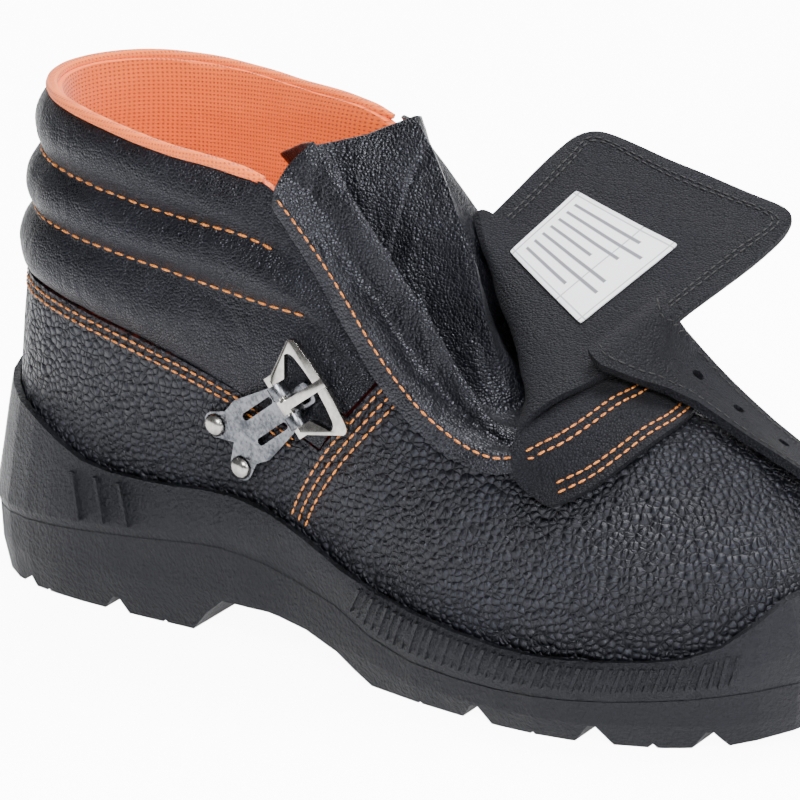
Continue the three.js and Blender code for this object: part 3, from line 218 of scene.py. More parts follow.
def piece_from(node, name):
    """A separate piece with the solid's own shape, its loose triangles merged."""
    mesh = frame["nodes"][node].data.copy()
    mesh.name = name
    mesh.materials.clear()
    piece = bpy.data.objects.new(name, mesh)
    scene.collection.objects.link(piece)
    for key in [a.name for a in mesh.attributes if a.name in ("custom_normal", "sharp_face")]:
        mesh.attributes.remove(mesh.attributes[key])
    edit(piece, lambda: bpy.ops.mesh.remove_doubles(threshold=2e-5))
    return piece


def to_quads(piece):
    edit(piece, lambda: bpy.ops.mesh.tris_convert_to_quads(face_threshold=1.1, shape_threshold=1.2))


def crease(piece, hollow=None, ridge=None, amount=0.7):
    """Creases valleys sharper than hollow degrees and ridges sharper than ridge degrees."""
    form = bmesh.new()
    form.from_mesh(piece.data)
    layer = form.edges.layers.float.get("crease_edge") or form.edges.layers.float.new("crease_edge")
    for e in form.edges:
        if len(e.link_faces) != 2:
            continue
        bend = math.degrees(e.calc_face_angle_signed(0.0))
        if ridge is not None and bend > ridge:
            e[layer] = amount
        if hollow is not None and bend < -hollow:
            e[layer] = amount
    form.to_mesh(piece.data)
    form.free()


def ripple(piece, size, amount, weight=lambda p: 1.0, stretch=(1, 1, 1), seed=0.0):
    """Moves the leather a little to and fro, both of its faces together."""
    for v in piece.data.vertices:
        p = Vector((v.co[k] / size / stretch[k] for k in range(3)))
        p += Vector((seed, 0, 0))
        push = noise.noise_vector(p) + 0.5 * noise.noise_vector(p * 2.1)
        v.co += push * amount * weight(v.co)


def near_line(points, reach):
    """A weight that is 0 on a line and 1 from reach on."""
    def weight(p):
        nearest = min((p - q).length for q in points)
        f = min(max(nearest / reach - 0.3, 0.0), 1.0)
        return f * f * (3 - 2 * f)
    return weight


def tree_of(*pieces):
    points, faces = [], []
    for piece in pieces:
        start = len(points)
        points += [v.co.copy() for v in piece.data.vertices]
        faces += [[start + k for k in f.vertices] for f in piece.data.polygons]
    return BVHTree.FromPolygons(points, faces)


def even_points(points, pitch):
    """Points at an even pitch along a smooth curve through the given ones."""
    dense = []
    for i in range(len(points) - 1):
        p0, p1 = points[max(i - 1, 0)], points[i]
        p2, p3 = points[i + 1], points[min(i + 2, len(points) - 1)]
        for k in range(12):
            t = k / 12
            dense.append(0.5 * (2 * p1 + (p2 - p0) * t + (2 * p0 - 5 * p1 + 4 * p2 - p3) * t * t
                                + (3 * p1 - p0 - 3 * p2 + p3) * t ** 3))
    dense.append(points[-1])
    spaced, left = [dense[0]], pitch
    for a, b in zip(dense, dense[1:]):
        run = (b - a).length
        while run >= left and run > 0:
            a = a.lerp(b, left / run)
            run = (b - a).length
            spaced.append(a)
            left = pitch
        left -= run
    return spaced


# Materials

def add(tree, kind, inputs=None, **settings):
    new = tree.nodes.new(kind)
    for key, value in settings.items():
        setattr(new, key, value)
    for key, value in (inputs or {}).items():
        if isinstance(value, bpy.types.NodeSocket):
            tree.links.new(value, new.inputs[key])
        else:
            new.inputs[key].default_value = value
    return new


def effect(name, inputs, outputs):
    """An empty shader group with the named inputs and outputs."""
    group = bpy.data.node_groups.new(name, "ShaderNodeTree")
    for label, kind, value in inputs:
        made = group.interface.new_socket(name=label, in_out="INPUT", socket_type=kind)
        if value is not None:
            made.default_value = value
    for label, kind in outputs:
        group.interface.new_socket(name=label, in_out="OUTPUT", socket_type=kind)
    return group, group.nodes.new("NodeGroupInput"), group.nodes.new("NodeGroupOutput")


def math_node(tree, operation, a, b=0.5, clamp=False):
    made = add(tree, "ShaderNodeMath", {0: a, 1: b}, operation=operation)
    made.use_clamp = clamp
    return made.outputs[0]


def remap(tree, value, lo, hi, to_lo=0.0, to_hi=1.0, curve="SMOOTHSTEP"):
    return add(tree, "ShaderNodeMapRange", {
        "Value": value, "From Min": lo, "From Max": hi, "To Min": to_lo, "To Max": to_hi,
    }, interpolation_type=curve).outputs[0]


def pebble_group():
    group, inside, out = effect("pebble_grain", [
        ("Vector", "NodeSocketVector", None), ("Cells", "NodeSocketFloat", 800.0),
        ("Fine", "NodeSocketFloat", 0.25)],
        [("Height", "NodeSocketFloat"), ("Valley", "NodeSocketFloat")])
    bend = add(group, "ShaderNodeTexNoise", {
        "Vector": inside.outputs["Vector"], "Scale": 260.0, "Detail": 2.0})
    shift = add(group, "ShaderNodeVectorMath", {0: bend.outputs["Color"]}, operation="SCALE")
    shift.inputs["Scale"].default_value = 0.0016
    moved = add(group, "ShaderNodeVectorMath", {
        0: inside.outputs["Vector"], 1: shift.outputs[0]}, operation="ADD")
    domes = add(group, "ShaderNodeTexVoronoi", {
        "Vector": moved.outputs[0], "Scale": inside.outputs["Cells"], "Randomness": 0.85,
        "Smoothness": 0.35}, feature="SMOOTH_F1")
    slope = math_node(group, "MULTIPLY", domes.outputs["Distance"], 1.35)
    dome = math_node(group, "SUBTRACT", 1.0, math_node(group, "POWER", slope, 1.8))
    edges = add(group, "ShaderNodeTexVoronoi", {
        "Vector": moved.outputs[0], "Scale": inside.outputs["Cells"], "Randomness": 0.85},
        feature="DISTANCE_TO_EDGE")
    pores = add(group, "ShaderNodeTexNoise", {
        "Vector": inside.outputs["Vector"], "Scale": 3800.0, "Detail": 3.0, "Roughness": 0.6})
    fine = math_node(group, "MULTIPLY", pores.outputs["Fac"], inside.outputs["Fine"])
    groove = math_node(group, "MULTIPLY", remap(group, edges.outputs["Distance"], 0.0, 0.12), 0.7)
    group.links.new(math_node(group, "ADD", math_node(group, "ADD", dome, groove), fine),
                    out.inputs["Height"])
    # Valley is 1 in the grooves between pebbles; the leather uses it to darken its colour there as painted
    # shade, and to roughen it.
    group.links.new(remap(group, edges.outputs["Distance"], 0.0, 0.16, 1.0, 0.0), out.inputs["Valley"])
    return group


def creases_group():
    group, inside, out = effect("soft_creases", [
        ("Vector", "NodeSocketVector", None), ("Scale", "NodeSocketFloat", 60.0),
        ("Stretch", "NodeSocketVector", None)],
        [("Height", "NodeSocketFloat")])
    drawn = add(group, "ShaderNodeMapping", {
        "Vector": inside.outputs["Vector"], "Scale": inside.outputs["Stretch"]})
    long_folds = add(group, "ShaderNodeTexNoise", {
        "Vector": drawn.outputs[0], "Scale": inside.outputs["Scale"], "Detail": 2.0,
        "Distortion": 0.6})
    away_from_mid = math_node(group, "ABSOLUTE", math_node(
        group, "SUBTRACT", long_folds.outputs["Fac"], 0.5), 0.0)
    valley = remap(group, away_from_mid, 0.0, 0.11)
    fine = add(group, "ShaderNodeTexNoise", {
        "Vector": drawn.outputs[0], "Scale": 330.0, "Detail": 4.0, "Roughness": 0.6})
    group.links.new(math_node(group, "ADD", valley, math_node(
        group, "MULTIPLY", fine.outputs["Fac"], 0.6)), out.inputs["Height"])
    return group


def mottle_group():
    group, inside, out = effect("mottle", [
        ("Vector", "NodeSocketVector", None), ("Scale", "NodeSocketFloat", 40.0)],
        [("Broad", "NodeSocketFloat"), ("Specks", "NodeSocketFloat")])
    broad = add(group, "ShaderNodeTexNoise", {
        "Vector": inside.outputs["Vector"], "Scale": inside.outputs["Scale"],
        "Detail": 4.0, "Roughness": 0.55})
    specks = add(group, "ShaderNodeTexNoise", {
        "Vector": inside.outputs["Vector"], "Scale": 1500.0, "Detail": 2.0})
    group.links.new(remap(group, broad.outputs["Fac"], 0.32, 0.68), out.inputs["Broad"])
    group.links.new(remap(group, specks.outputs["Fac"], 0.6, 0.75), out.inputs["Specks"])
    return group


PEBBLE = pebble_group()
CREASES = creases_group()
MOTTLE = mottle_group()


def blank(name):
    material = bpy.data.materials.new(name)
    material.use_nodes = True
    tree = material.node_tree
    shader = tree.nodes["Principled BSDF"]
    place = tree.nodes.new("ShaderNodeTexCoord").outputs["Object"]
    return material, tree, shader, place


def two_tone(tree, factor, dark, light):
    mix = add(tree, "ShaderNodeMix", {"Factor": factor}, data_type="RGBA")
    mix.inputs[6].default_value = (*dark, 1)
    mix.inputs[7].default_value = (*light, 1)
    return mix.outputs[2]


def bumped(tree, shader, height, distance, strength=1.0):
    bump = add(tree, "ShaderNodeBump", {
        "Height": height, "Distance": distance, "Strength": strength})
    tree.links.new(bump.outputs[0], shader.inputs["Normal"])


def leather(name, dark, light, rough, cells, relief, folds, gloss=0.22, sheen=0.0):
    """cells per metre; folds: their scale, their relief and how they are stretched."""
    material, tree, shader, place = blank(name)
    grain = add(tree, "ShaderNodeGroup", node_tree=PEBBLE)
    tree.links.new(place, grain.inputs["Vector"])
    grain.inputs["Cells"].default_value = cells
    creases = add(tree, "ShaderNodeGroup", node_tree=CREASES)
    tree.links.new(place, creases.inputs["Vector"])
    creases.inputs["Scale"].default_value = folds[0]
    creases.inputs["Stretch"].default_value = folds[2]
    tone = add(tree, "ShaderNodeGroup", node_tree=MOTTLE)
    tree.links.new(place, tone.inputs["Vector"])
    # Base colour: a random tone, darkened in the grain's grooves between pebbles as painted shade.
    tone_and_groove_shade = math_node(tree, "SUBTRACT", tone.outputs["Broad"],
                     math_node(tree, "MULTIPLY", grain.outputs["Valley"], 0.8), clamp=True)
    tree.links.new(two_tone(tree, tone_and_groove_shade, dark, light), shader.inputs["Base Color"])
    smoothness = remap(tree, tone.outputs["Broad"], 0.0, 1.0, rough[0], rough[1], "LINEAR")
    tree.links.new(math_node(tree, "ADD", smoothness, math_node(
        tree, "MULTIPLY", grain.outputs["Valley"], 0.25)), shader.inputs["Roughness"])
    total = math_node(tree, "ADD", math_node(tree, "MULTIPLY", grain.outputs["Height"], relief),
                      math_node(tree, "MULTIPLY", creases.outputs["Height"], folds[1]))
    bumped(tree, shader, total, 0.001)
    shader.inputs["Sheen Weight"].default_value = sheen
    shader.inputs["Specular IOR Level"].default_value = gloss
    shader.inputs["Specular Tint"].default_value = (0.86, 0.87, 1.0, 1.0)
    return material


def mesh_cloth(name, dark, light, pitch):
    """A fine knitted mesh: staggered small holes, in the piece's own map."""
    material, tree, shader, place = blank(name)
    spot = add(tree, "ShaderNodeUVMap", uv_map="wrap").outputs[0]
    parts = add(tree, "ShaderNodeSeparateXYZ", {"Vector": spot})
    turn = 2 * math.pi / pitch
    waves = []
    for sign in (1.0, -1.0):
        both = math_node(tree, "MULTIPLY_ADD", parts.outputs[1], sign)
        tree.links.new(parts.outputs[0], both.node.inputs[2])
        waves.append(math_node(tree, "SINE", math_node(tree, "MULTIPLY", both, turn * 0.5), 0.0))
    crossed = math_node(tree, "MULTIPLY", waves[0], waves[1])
    hole = remap(tree, crossed, 0.25, 0.75)
    threads = add(tree, "ShaderNodeTexNoise", {"Vector": place, "Scale": 5200.0, "Detail": 2.0})
    soil = add(tree, "ShaderNodeGroup", node_tree=MOTTLE)
    tree.links.new(place, soil.inputs["Vector"])
    # Colour: the holes are painted a darker orange as painted shade, with a random soil tone on top.
    shade = math_node(tree, "ADD", hole, math_node(tree, "MULTIPLY", soil.outputs["Broad"], 0.18),
                      clamp=True)
    tree.links.new(two_tone(tree, shade, light, dark), shader.inputs["Base Color"])
    height = math_node(tree, "SUBTRACT", math_node(
        tree, "MULTIPLY", threads.outputs["Fac"], 0.3), hole)
    bumped(tree, shader, height, 0.0004)
    tree.links.new(remap(tree, threads.outputs["Fac"], 0.3, 0.7, 0.75, 0.95, "LINEAR"),
                   shader.inputs["Roughness"])
    shader.inputs["Sheen Weight"].default_value = 0.2
    return material


def thread(name, dark, light):
    material, tree, shader, place = blank(name)
    twist = add(tree, "ShaderNodeTexNoise", {"Vector": place, "Scale": 2600.0, "Detail": 2.0})
    tree.links.new(two_tone(tree, remap(tree, twist.outputs["Fac"], 0.35, 0.65), dark, light),
                   shader.inputs["Base Color"])
    bumped(tree, shader, twist.outputs["Fac"], 0.0002)
    shader.inputs["Roughness"].default_value = 0.6
    return material


def moulded(name, dark, light, rough, relief):
    material, tree, shader, place = blank(name)
    tone = add(tree, "ShaderNodeGroup", node_tree=MOTTLE)
    tree.links.new(place, tone.inputs["Vector"])
    skin_noise = add(tree, "ShaderNodeTexNoise", {
        "Vector": place, "Scale": 1100.0, "Detail": 4.0, "Roughness": 0.65})
    pits = add(tree, "ShaderNodeTexVoronoi", {"Vector": place, "Scale": 620.0}, feature="F1")
    tree.links.new(two_tone(tree, tone.outputs["Broad"], dark, light), shader.inputs["Base Color"])
    tree.links.new(remap(tree, tone.outputs["Broad"], 0.0, 1.0, rough[0], rough[1], "LINEAR"),
                   shader.inputs["Roughness"])
    height = math_node(tree, "ADD", skin_noise.outputs["Fac"],
                       math_node(tree, "MULTIPLY", pits.outputs["Distance"], 0.4))
    bumped(tree, shader, height, relief)
    shader.inputs["Specular IOR Level"].default_value = 0.3
    shader.inputs["Specular Tint"].default_value = (0.88, 0.89, 1.0, 1.0)
    return material


def metal(name, dark, light, rough, streak, relief):
    material, tree, shader, place = blank(name)
    drawn = add(tree, "ShaderNodeMapping", {"Vector": place, "Scale": (1.0, 1.0, streak)})
    drawn.inputs["Rotation"].default_value = (0, math.radians(-42), 0)
    lines = add(tree, "ShaderNodeTexNoise", {
        "Vector": drawn.outputs[0], "Scale": 900.0, "Detail": 4.0, "Roughness": 0.6})
    smears = add(tree, "ShaderNodeTexNoise", {"Vector": place, "Scale": 120.0, "Detail": 4.0})
    both = math_node(tree, "ADD", math_node(tree, "MULTIPLY", lines.outputs["Fac"], 0.5),
                     math_node(tree, "MULTIPLY", smears.outputs["Fac"], 0.5))
    tree.links.new(two_tone(tree, remap(tree, both, 0.35, 0.65), dark, light),
                   shader.inputs["Base Color"])
    tree.links.new(remap(tree, both, 0.35, 0.65, rough[0], rough[1], "LINEAR"),
                   shader.inputs["Roughness"])
    bumped(tree, shader, both, relief)
    shader.inputs["Metallic"].default_value = 1.0
    return material


def label_cloth(name):
    """White satin cloth with ruled grey bars, in the label's own UV map."""
    material, tree, shader, place = blank(name)
    spot = add(tree, "ShaderNodeUVMap", uv_map="weave").outputs[0]
    parts = add(tree, "ShaderNodeSeparateXYZ", {"Vector": spot})
    across, up = parts.outputs[0], parts.outputs[1]
    rows = math_node(tree, "FRACT", math_node(tree, "MULTIPLY", up, 9.0), 0.0)
    in_row = remap(tree, rows, 0.34, 0.42, curve="LINEAR")
    row_end = remap(tree, rows, 0.64, 0.7, 1.0, 0.0, "LINEAR")
    number = math_node(tree, "FLOOR", math_node(tree, "MULTIPLY", up, 9.0), 0.0)
    length = add(tree, "ShaderNodeTexWhiteNoise", {"W": number}, noise_dimensions="1D")
    far = remap(tree, length.outputs["Value"], 0.0, 1.0, 0.55, 0.9, "LINEAR")
    before = math_node(tree, "LESS_THAN", across, far)
    after = math_node(tree, "GREATER_THAN", across, 0.1)
    lower = math_node(tree, "GREATER_THAN", up, 0.1)
    upper_part = math_node(tree, "LESS_THAN", up, 0.9)
    ink = in_row
    for mask in (row_end, before, after, lower, upper_part):
        ink = math_node(tree, "MULTIPLY", ink, mask)
    weave = add(tree, "ShaderNodeTexWave", {"Vector": spot, "Scale": 40.0}, bands_direction="Y")
    rule = math_node(tree, "COMPARE", across, 0.66)
    rule.node.inputs[2].default_value = 0.006
    for place_up in (0.06, 0.94):
        edge = math_node(tree, "COMPARE", up, place_up)
        edge.node.inputs[2].default_value = 0.007
        rule = math_node(tree, "MAXIMUM", rule, edge)
    for place_across in (0.05, 0.95):
        edge = math_node(tree, "COMPARE", across, place_across)
        edge.node.inputs[2].default_value = 0.006
        rule = math_node(tree, "MAXIMUM", rule, edge)
    faded = math_node(tree, "MAXIMUM", math_node(tree, "MULTIPLY", ink, 0.92),
                      math_node(tree, "MULTIPLY", rule, 0.6))
    tree.links.new(two_tone(tree, faded, (0.93, 0.94, 0.98), (0.1, 0.1, 0.12)),
                   shader.inputs["Base Color"])
    bumped(tree, shader, weave.outputs["Fac"], 0.00008)
    shader.inputs["Roughness"].default_value = 0.62
    return material


def pale_floor(name):
    material, tree, shader, place = blank(name)
    tone = add(tree, "ShaderNodeTexNoise", {"Vector": place, "Scale": 3.0, "Detail": 2.0})
    tree.links.new(two_tone(tree, tone.outputs["Fac"], (0.86, 0.86, 0.87), (0.9, 0.9, 0.9)),
                   shader.inputs["Base Color"])
    shader.inputs["Emission Color"].default_value = (1.0, 1.0, 1.0, 1.0)
    seen = add(tree, "ShaderNodeLightPath").outputs["Is Camera Ray"]
    glow = math_node(tree, "MULTIPLY_ADD", seen, 9.0)
    glow.node.inputs[2].default_value = 0.9
    tree.links.new(glow, shader.inputs["Emission Strength"])
    shader.inputs["Roughness"].default_value = 0.8
    return material


grain_leather = leather("grain_leather", (0.001, 0.0011, 0.0018), (0.006, 0.0066, 0.0105),
                        (0.26, 0.35), 440.0, 1.0, (30.0, 0.12, (1.0, 1.0, 0.7)), 0.4)
soft_leather = leather("soft_leather", (0.0014, 0.0016, 0.0025), (0.0052, 0.0057, 0.009),
                       (0.25, 0.36), 1150.0, 0.2, (42.0, 0.35, (1.5, 1.5, 0.5)), 0.32)
gusset_leather = leather("gusset_leather", (0.001, 0.0012, 0.0018), (0.0042, 0.0046, 0.0072),
                         (0.24, 0.36), 1000.0, 0.17, (26.0, 0.8, (1.3, 1.3, 0.45)), 0.45)
flesh_leather = leather("flesh_leather", (0.002, 0.0021, 0.003), (0.0066, 0.0068, 0.0098),
                        (0.5, 0.66), 1200.0, 0.26, (40.0, 0.16, (1.0, 1.0, 1.0)), 0.18, 0.02)
orange_mesh = mesh_cloth("orange_mesh", (0.6, 0.075, 0.003), (0.95, 0.15, 0.006), 0.0013)
orange_binding = mesh_cloth("orange_binding", (0.72, 0.1, 0.006), (0.95, 0.17, 0.012), 0.0011)
orange_thread = thread("orange_thread", (0.2, 0.05, 0.005), (0.82, 0.27, 0.035))
black_thread = thread("black_thread", (0.0006, 0.0006, 0.001), (0.0026, 0.0026, 0.004))
wall_rubber = moulded("wall_rubber", (0.0016, 0.0018, 0.0023), (0.005, 0.0054, 0.0068), (0.32, 0.46), 0.0011)
tread_rubber = moulded("tread_rubber", (0.0016, 0.0017, 0.0022), (0.0044, 0.0047, 0.0058), (0.36, 0.52),
                       0.0012)
nickel = metal("nickel", (0.32, 0.305, 0.285), (0.48, 0.46, 0.43), (0.1, 0.18), 0.6, 0.00002)
zinc = metal("zinc", (0.045, 0.048, 0.056), (0.2, 0.207, 0.225), (0.2, 0.36), 0.8, 0.00008)
rivet_steel = metal("rivet_steel", (0.25, 0.24, 0.23), (0.45, 0.44, 0.42), (0.16, 0.32), 0.4, 0.00006)
satin_label = label_cloth("satin_label")


# Pieces

def ready(piece, material_slot, *nodes, body="root"):
    if nodes:
        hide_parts(*nodes)
    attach(piece, body)
    return piece


def paint(piece, *materials):
    for material in materials:
        piece.data.materials.append(material)


def facing_in(piece, keep, *hems, margin=0.008, brim=0.0):
    """The second material goes to faces that look into the boot, away from the hems."""
    rim = even_points(line("rim"), 0.002)
    for face in piece.data.polygons:
        c = face.center
        inward = Vector((min(max(c.x, 0.01), 0.19), 0.0, c.z)) - c
        if inward.length < 1e-6 or any((q - c).length < margin for hem in hems for q in hem):
            continue
        lined = face.normal.dot(inward.normalized()) > keep
        nearest = min(rim, key=lambda q: (q - c).length) if brim and c.z > 0.11 else None
        on_top = (nearest is not None and (nearest - c).length < brim
                  and (c - nearest).dot(inward) > 0)
        if lined or on_top:
            face.material_index = 1


def wrap_map(piece, lying=False):
    """A map in metres: round the ankle and up, or flat for what lies."""
    uv = piece.data.uv_layers.new(name="wrap")
    for loop in piece.data.loops:
        p = piece.data.vertices[loop.vertex_index].co
        turn = math.atan2(p.y, 0.035 - p.x) * 0.042
        uv.data[loop.index].uv = (p.x, p.y) if lying else (turn, p.z)


def piping(name, row, radius, sides=10):
    """The lining's rolled edge along the collar's rim, as a round tube."""
    path = even_points(row, 0.0025)
    points, faces = [], []
    for i, p in enumerate(path):
        ahead = (path[min(i + 1, len(path) - 1)] - path[max(i - 1, 0)]).normalized()
        side = ahead.cross(Vector((0, 0, 1))).normalized()
        top = side.cross(ahead)
        swell = radius * (1 + 0.08 * noise.noise(p * 90)) * min(1.0, 0.5 + 0.2 * min(i, len(path) - 1 - i))
        for k in range(sides):
            a = 2 * math.pi * k / sides
            points.append(p + (side * math.cos(a) * 1.1 + top * math.sin(a)) * swell)
    for i in range(len(path) - 1):
        for k in range(sides):
            a, b = i * sides + k, i * sides + (k + 1) % sides
            faces.append((a, b, b + sides, a + sides))
    faces.append(tuple(range(sides - 1, -1, -1)))
    faces.append(tuple((len(path) - 1) * sides + k for k in range(sides)))
    mesh = bpy.data.meshes.new(name)
    mesh.from_pydata(points, [], faces)
    piece = bpy.data.objects.new(name, mesh)
    scene.collection.objects.link(piece)
    edit(piece, lambda: bpy.ops.mesh.normals_make_consistent(inside=False))
    wrap_map(piece)
    paint(piece, orange_binding)
    smooth(piece, 60)
    return piece


collar = piece_from("collar", "padded_collar")
to_quads(collar)
crease(collar, hollow=32, ridge=62, amount=0.55)
apply_modifier(collar, "SUBSURF", levels=2, render_levels=2)
ripple(collar, 0.03, 0.0006, near_line(line("throat"), 0.012), stretch=(1.6, 1.6, 0.6), seed=3.0)
ripple(collar, 0.009, 0.00022, near_line(line("throat"), 0.012), stretch=(1, 1, 1), seed=8.0)
paint(collar, soft_leather, orange_mesh)
facing_in(collar, 0.25, *(even_points(line(hem), 0.003)
                         for hem in ("quarter_top", "vamp_outer", "vamp_inner")), brim=0.008)
wrap_map(collar)
smooth(collar, 60)
ready(collar, "collar_leather", "collar")
ready(piping("rim_piping", line("rim"), 0.0018), "insole")

gusset = piece_from("gusset", "bellows_gusset")
to_quads(gusset)
crease(gusset, ridge=62, amount=0.6)
apply_modifier(gusset, "SUBSURF", levels=2, render_levels=2)
ripple(gusset, 0.022, 0.0022, near_line(line("throat"), 0.016), stretch=(1, 1, 2.2), seed=1.0)
ripple(gusset, 0.011, 0.0005, near_line(line("throat"), 0.014), seed=5.0)
paint(gusset, gusset_leather)
smooth(gusset, 60)
ready(gusset, "gusset_leather", "gusset")

flap = piece_from("flap", "open_flap")
to_quads(flap)
crease(flap, ridge=62, amount=0.7)
apply_modifier(flap, "SUBSURF", levels=2, render_levels=2)
ripple(flap, 0.035, 0.0006, near_line(line("flap_front"), 0.02), seed=2.0)
paint(flap, flesh_leather)
smooth(flap, 60)
ready(flap, "flap_leather", "flap")

upper = piece_from("upper", "grain_upper")
paint(upper, grain_leather, orange_mesh)
facing_in(upper, 0.4, *(even_points(line(hem), 0.0012)
                        for hem in ("quarter_top", "vamp_outer", "vamp_inner")), margin=0.0024)
wrap_map(upper)
smooth(upper, 30)
ready(upper, "grain_leather", "upper")

strap = piece_from("strap", "pull_strap")
paint(strap, flesh_leather)
smooth(strap, 40)
ready(strap, "strap_leather", "strap")

def laid_label(name, below, cells=(26, 22), lift=0.0003, thick=0.0004):
    """A rectangle of cloth that follows the flap under it."""
    corners = line("label_corners")
    above = (corners[1] - corners[0]).cross(corners[3] - corners[0]).normalized()
    if above.z < 0:
        above.negate()
    ground = tree_of(below)
    points, faces, spots = [], [], []
    for i in range(cells[0] + 1):
        for k in range(cells[1] + 1):
            u, v = i / cells[0], k / cells[1]
            flat = (corners[0].lerp(corners[1], u)).lerp(corners[3].lerp(corners[2], u), v)
            hit, normal, _, _ = ground.ray_cast(flat + above * 0.02, -above)
            points.append((hit or flat) + above * lift)
            spots.append((u, v))
    row = cells[1] + 1
    for i in range(cells[0]):
        for k in range(cells[1]):
            a = i * row + k
            faces.append((a, a + row, a + row + 1, a + 1))
    mesh = bpy.data.meshes.new(name)
    mesh.from_pydata(points, [], faces)
    uv = mesh.uv_layers.new(name="weave")
    for loop in mesh.loops:
        uv.data[loop.index].uv = spots[loop.vertex_index]
    piece = bpy.data.objects.new(name, mesh)
    scene.collection.objects.link(piece)
    edit(piece, lambda: bpy.ops.mesh.vertices_smooth(factor=0.5, repeat=3),
         lambda: bpy.ops.mesh.normals_make_consistent(inside=False))
    if sum(f.normal.dot(above) for f in piece.data.polygons) < 0:
        edit(piece, lambda: bpy.ops.mesh.flip_normals())
    apply_modifier(piece, "SOLIDIFY", thickness=thick, offset=1.0)
    return piece


label = laid_label("care_label", flap)
paint(label, satin_label)
smooth(label, 40)
ready(label, "label", "label")

insole = piece_from("insole", "footbed")
paint(insole, orange_mesh)
wrap_map(insole, lying=True)
smooth(insole, 40)
ready(insole, "insole", "insole")

midsole = piece_from("midsole", "sole_wall")
paint(midsole, wall_rubber)
smooth(midsole, 28)
ready(midsole, "midsole", "midsole")

def fine_ribs(name, *rows, wide=0.0022, proud=0.0009, sunk=0.0012):
    """Slanted bars on the sole's wall, midway between its own ribs."""
    points, faces = [], []
    for row in rows:
        feet, heads = row[0::2], row[1::2]
        for i, (foot, head) in enumerate(zip(feet, heads)):
            ahead = feet[min(i + 1, len(feet) - 1)] - feet[max(i - 1, 0)]
            half = Vector((ahead.x, ahead.y, 0)).normalized() * wide / 2
            out = half.cross(Vector((0, 0, 1))).normalized()
            if out.dot(foot - Vector((min(foot.x, 0.19), 0, foot.z))) < 0:
                out.negate()
            start = len(points)
            for p in (foot, head):
                points += [p - half - out * sunk, p + half - out * sunk,
                           p + half * 0.5 + out * proud, p - half * 0.5 + out * proud]
            corners = ((0, 1, 2, 3), (7, 6, 5, 4), (0, 4, 5, 1), (1, 5, 6, 2), (2, 6, 7, 3), (3, 7, 4, 0))
            faces += [tuple(start + k for k in corner) for corner in corners]
    mesh = bpy.data.meshes.new(name)
    mesh.from_pydata(points, [], faces)
    piece = bpy.data.objects.new(name, mesh)
    scene.collection.objects.link(piece)
    edit(piece, lambda: bpy.ops.mesh.normals_make_consistent(inside=False))
    apply_modifier(piece, "BEVEL", width=0.0003, segments=2, limit_method="ANGLE")
    paint(piece, wall_rubber)
    smooth(piece, 50)
    return piece


ready(fine_ribs("fine_wall_ribs", line("outer_ribs"), line("inner_ribs")), "midsole")

outsole = piece_from("outsole", "tread")
paint(outsole, tread_rubber)
smooth(outsole, 30)
ready(outsole, "outsole", "outsole")

for node, name, material, body in (
        ("buckle_plate", "riveted_plate", zinc, "root"),
        ("rivet_rear", "rear_rivet", rivet_steel, "root"),
        ("rivet_front", "front_rivet", rivet_steel, "root"),
        ("buckle_frame", "house_frame", nickel, "frame"),
        ("buckle_prong", "prong", nickel, "prong")):
    part = piece_from(node, name)
    edit(part, lambda: bpy.ops.mesh.dissolve_limited(angle_limit=math.radians(1.0)))
    apply_modifier(part, "BEVEL", width=0.0007 if node == "buckle_frame" else 0.0002,
                   segments=3, limit_method="ANGLE", angle_limit=math.radians(40))
    paint(part, material)
    smooth(part, 35)
    slot_name = {"rear_rivet": "rivet_steel", "front_rivet": "rivet_steel",
                 "riveted_plate": "zinc_steel"}.get(name, "nickel_steel")
    ready(part, slot_name, node, body=body)


# Stitching: each row follows a seam line on the leather below it

def thread_template():
    bpy.ops.mesh.primitive_uv_sphere_add(segments=8, ring_count=5, radius=1.0)
    ball = bpy.context.object
    points = [v.co.copy() for v in ball.data.vertices]
    faces = [tuple(f.vertices) for f in ball.data.polygons]
    bpy.data.objects.remove(ball)
    return points, faces


THREAD = thread_template()


def from_boot(p):
    """The way out of the boot, level at the sides and up over the toes."""
    return (p - Vector((min(max(p.x, 0.0), 0.17), 0.0, p.z - 0.008))).normalized()


def up_from_flap(p):
    return Vector((0.16, -0.2, 0.97)).normalized()


def laid_on(ground, p, out, reach=0.012):
    hit, normal, _, _ = ground.ray_cast(p + out * reach, -out, 2.5 * reach)
    if hit is None:
        hit, normal, _, _ = ground.find_nearest(p)
    return hit, (normal if normal.dot(out) > 0.7 else out)


def stitch_rows(name, rows, carriers, material, way_out, pitch=0.0033, long=0.0026, thick=0.0004):
    """rows: line, distance aside and the way aside. Each stitch is sunk a little."""
    ground = tree_of(*carriers)
    points, faces = [], []
    for row, aside, side_way in rows:
        path = even_points(row, pitch)
        for i in range(1, len(path) - 1):
            ahead = (path[i + 1] - path[i - 1]).normalized()
            out = way_out(path[i])
            side = ahead.cross(out).normalized()
            if side.dot(side_way) < 0:
                side.negate()
            spot, normal = laid_on(ground, path[i] + side * aside, out)
            ahead = (ahead - normal * ahead.dot(normal)).normalized()
            side = normal.cross(ahead)
            start = len(points)
            centre = spot + normal * thick * 0.35
            for p in THREAD[0]:
                points.append(centre + ahead * p.z * long / 2 + side * p.x * thick
                              + normal * p.y * thick * 0.8)
            faces += [tuple(start + k for k in f) for f in THREAD[1]]
    mesh = bpy.data.meshes.new(name)
    mesh.from_pydata(points, [], faces)
    mesh.polygons.foreach_set("use_smooth", [True] * len(mesh.polygons))
    piece = bpy.data.objects.new(name, mesh)
    scene.collection.objects.link(piece)
    paint(piece, material)
    return piece


def rows_of(name, way, *distances):
    return [(line(name), d * MM, Vector(way)) for d in distances]


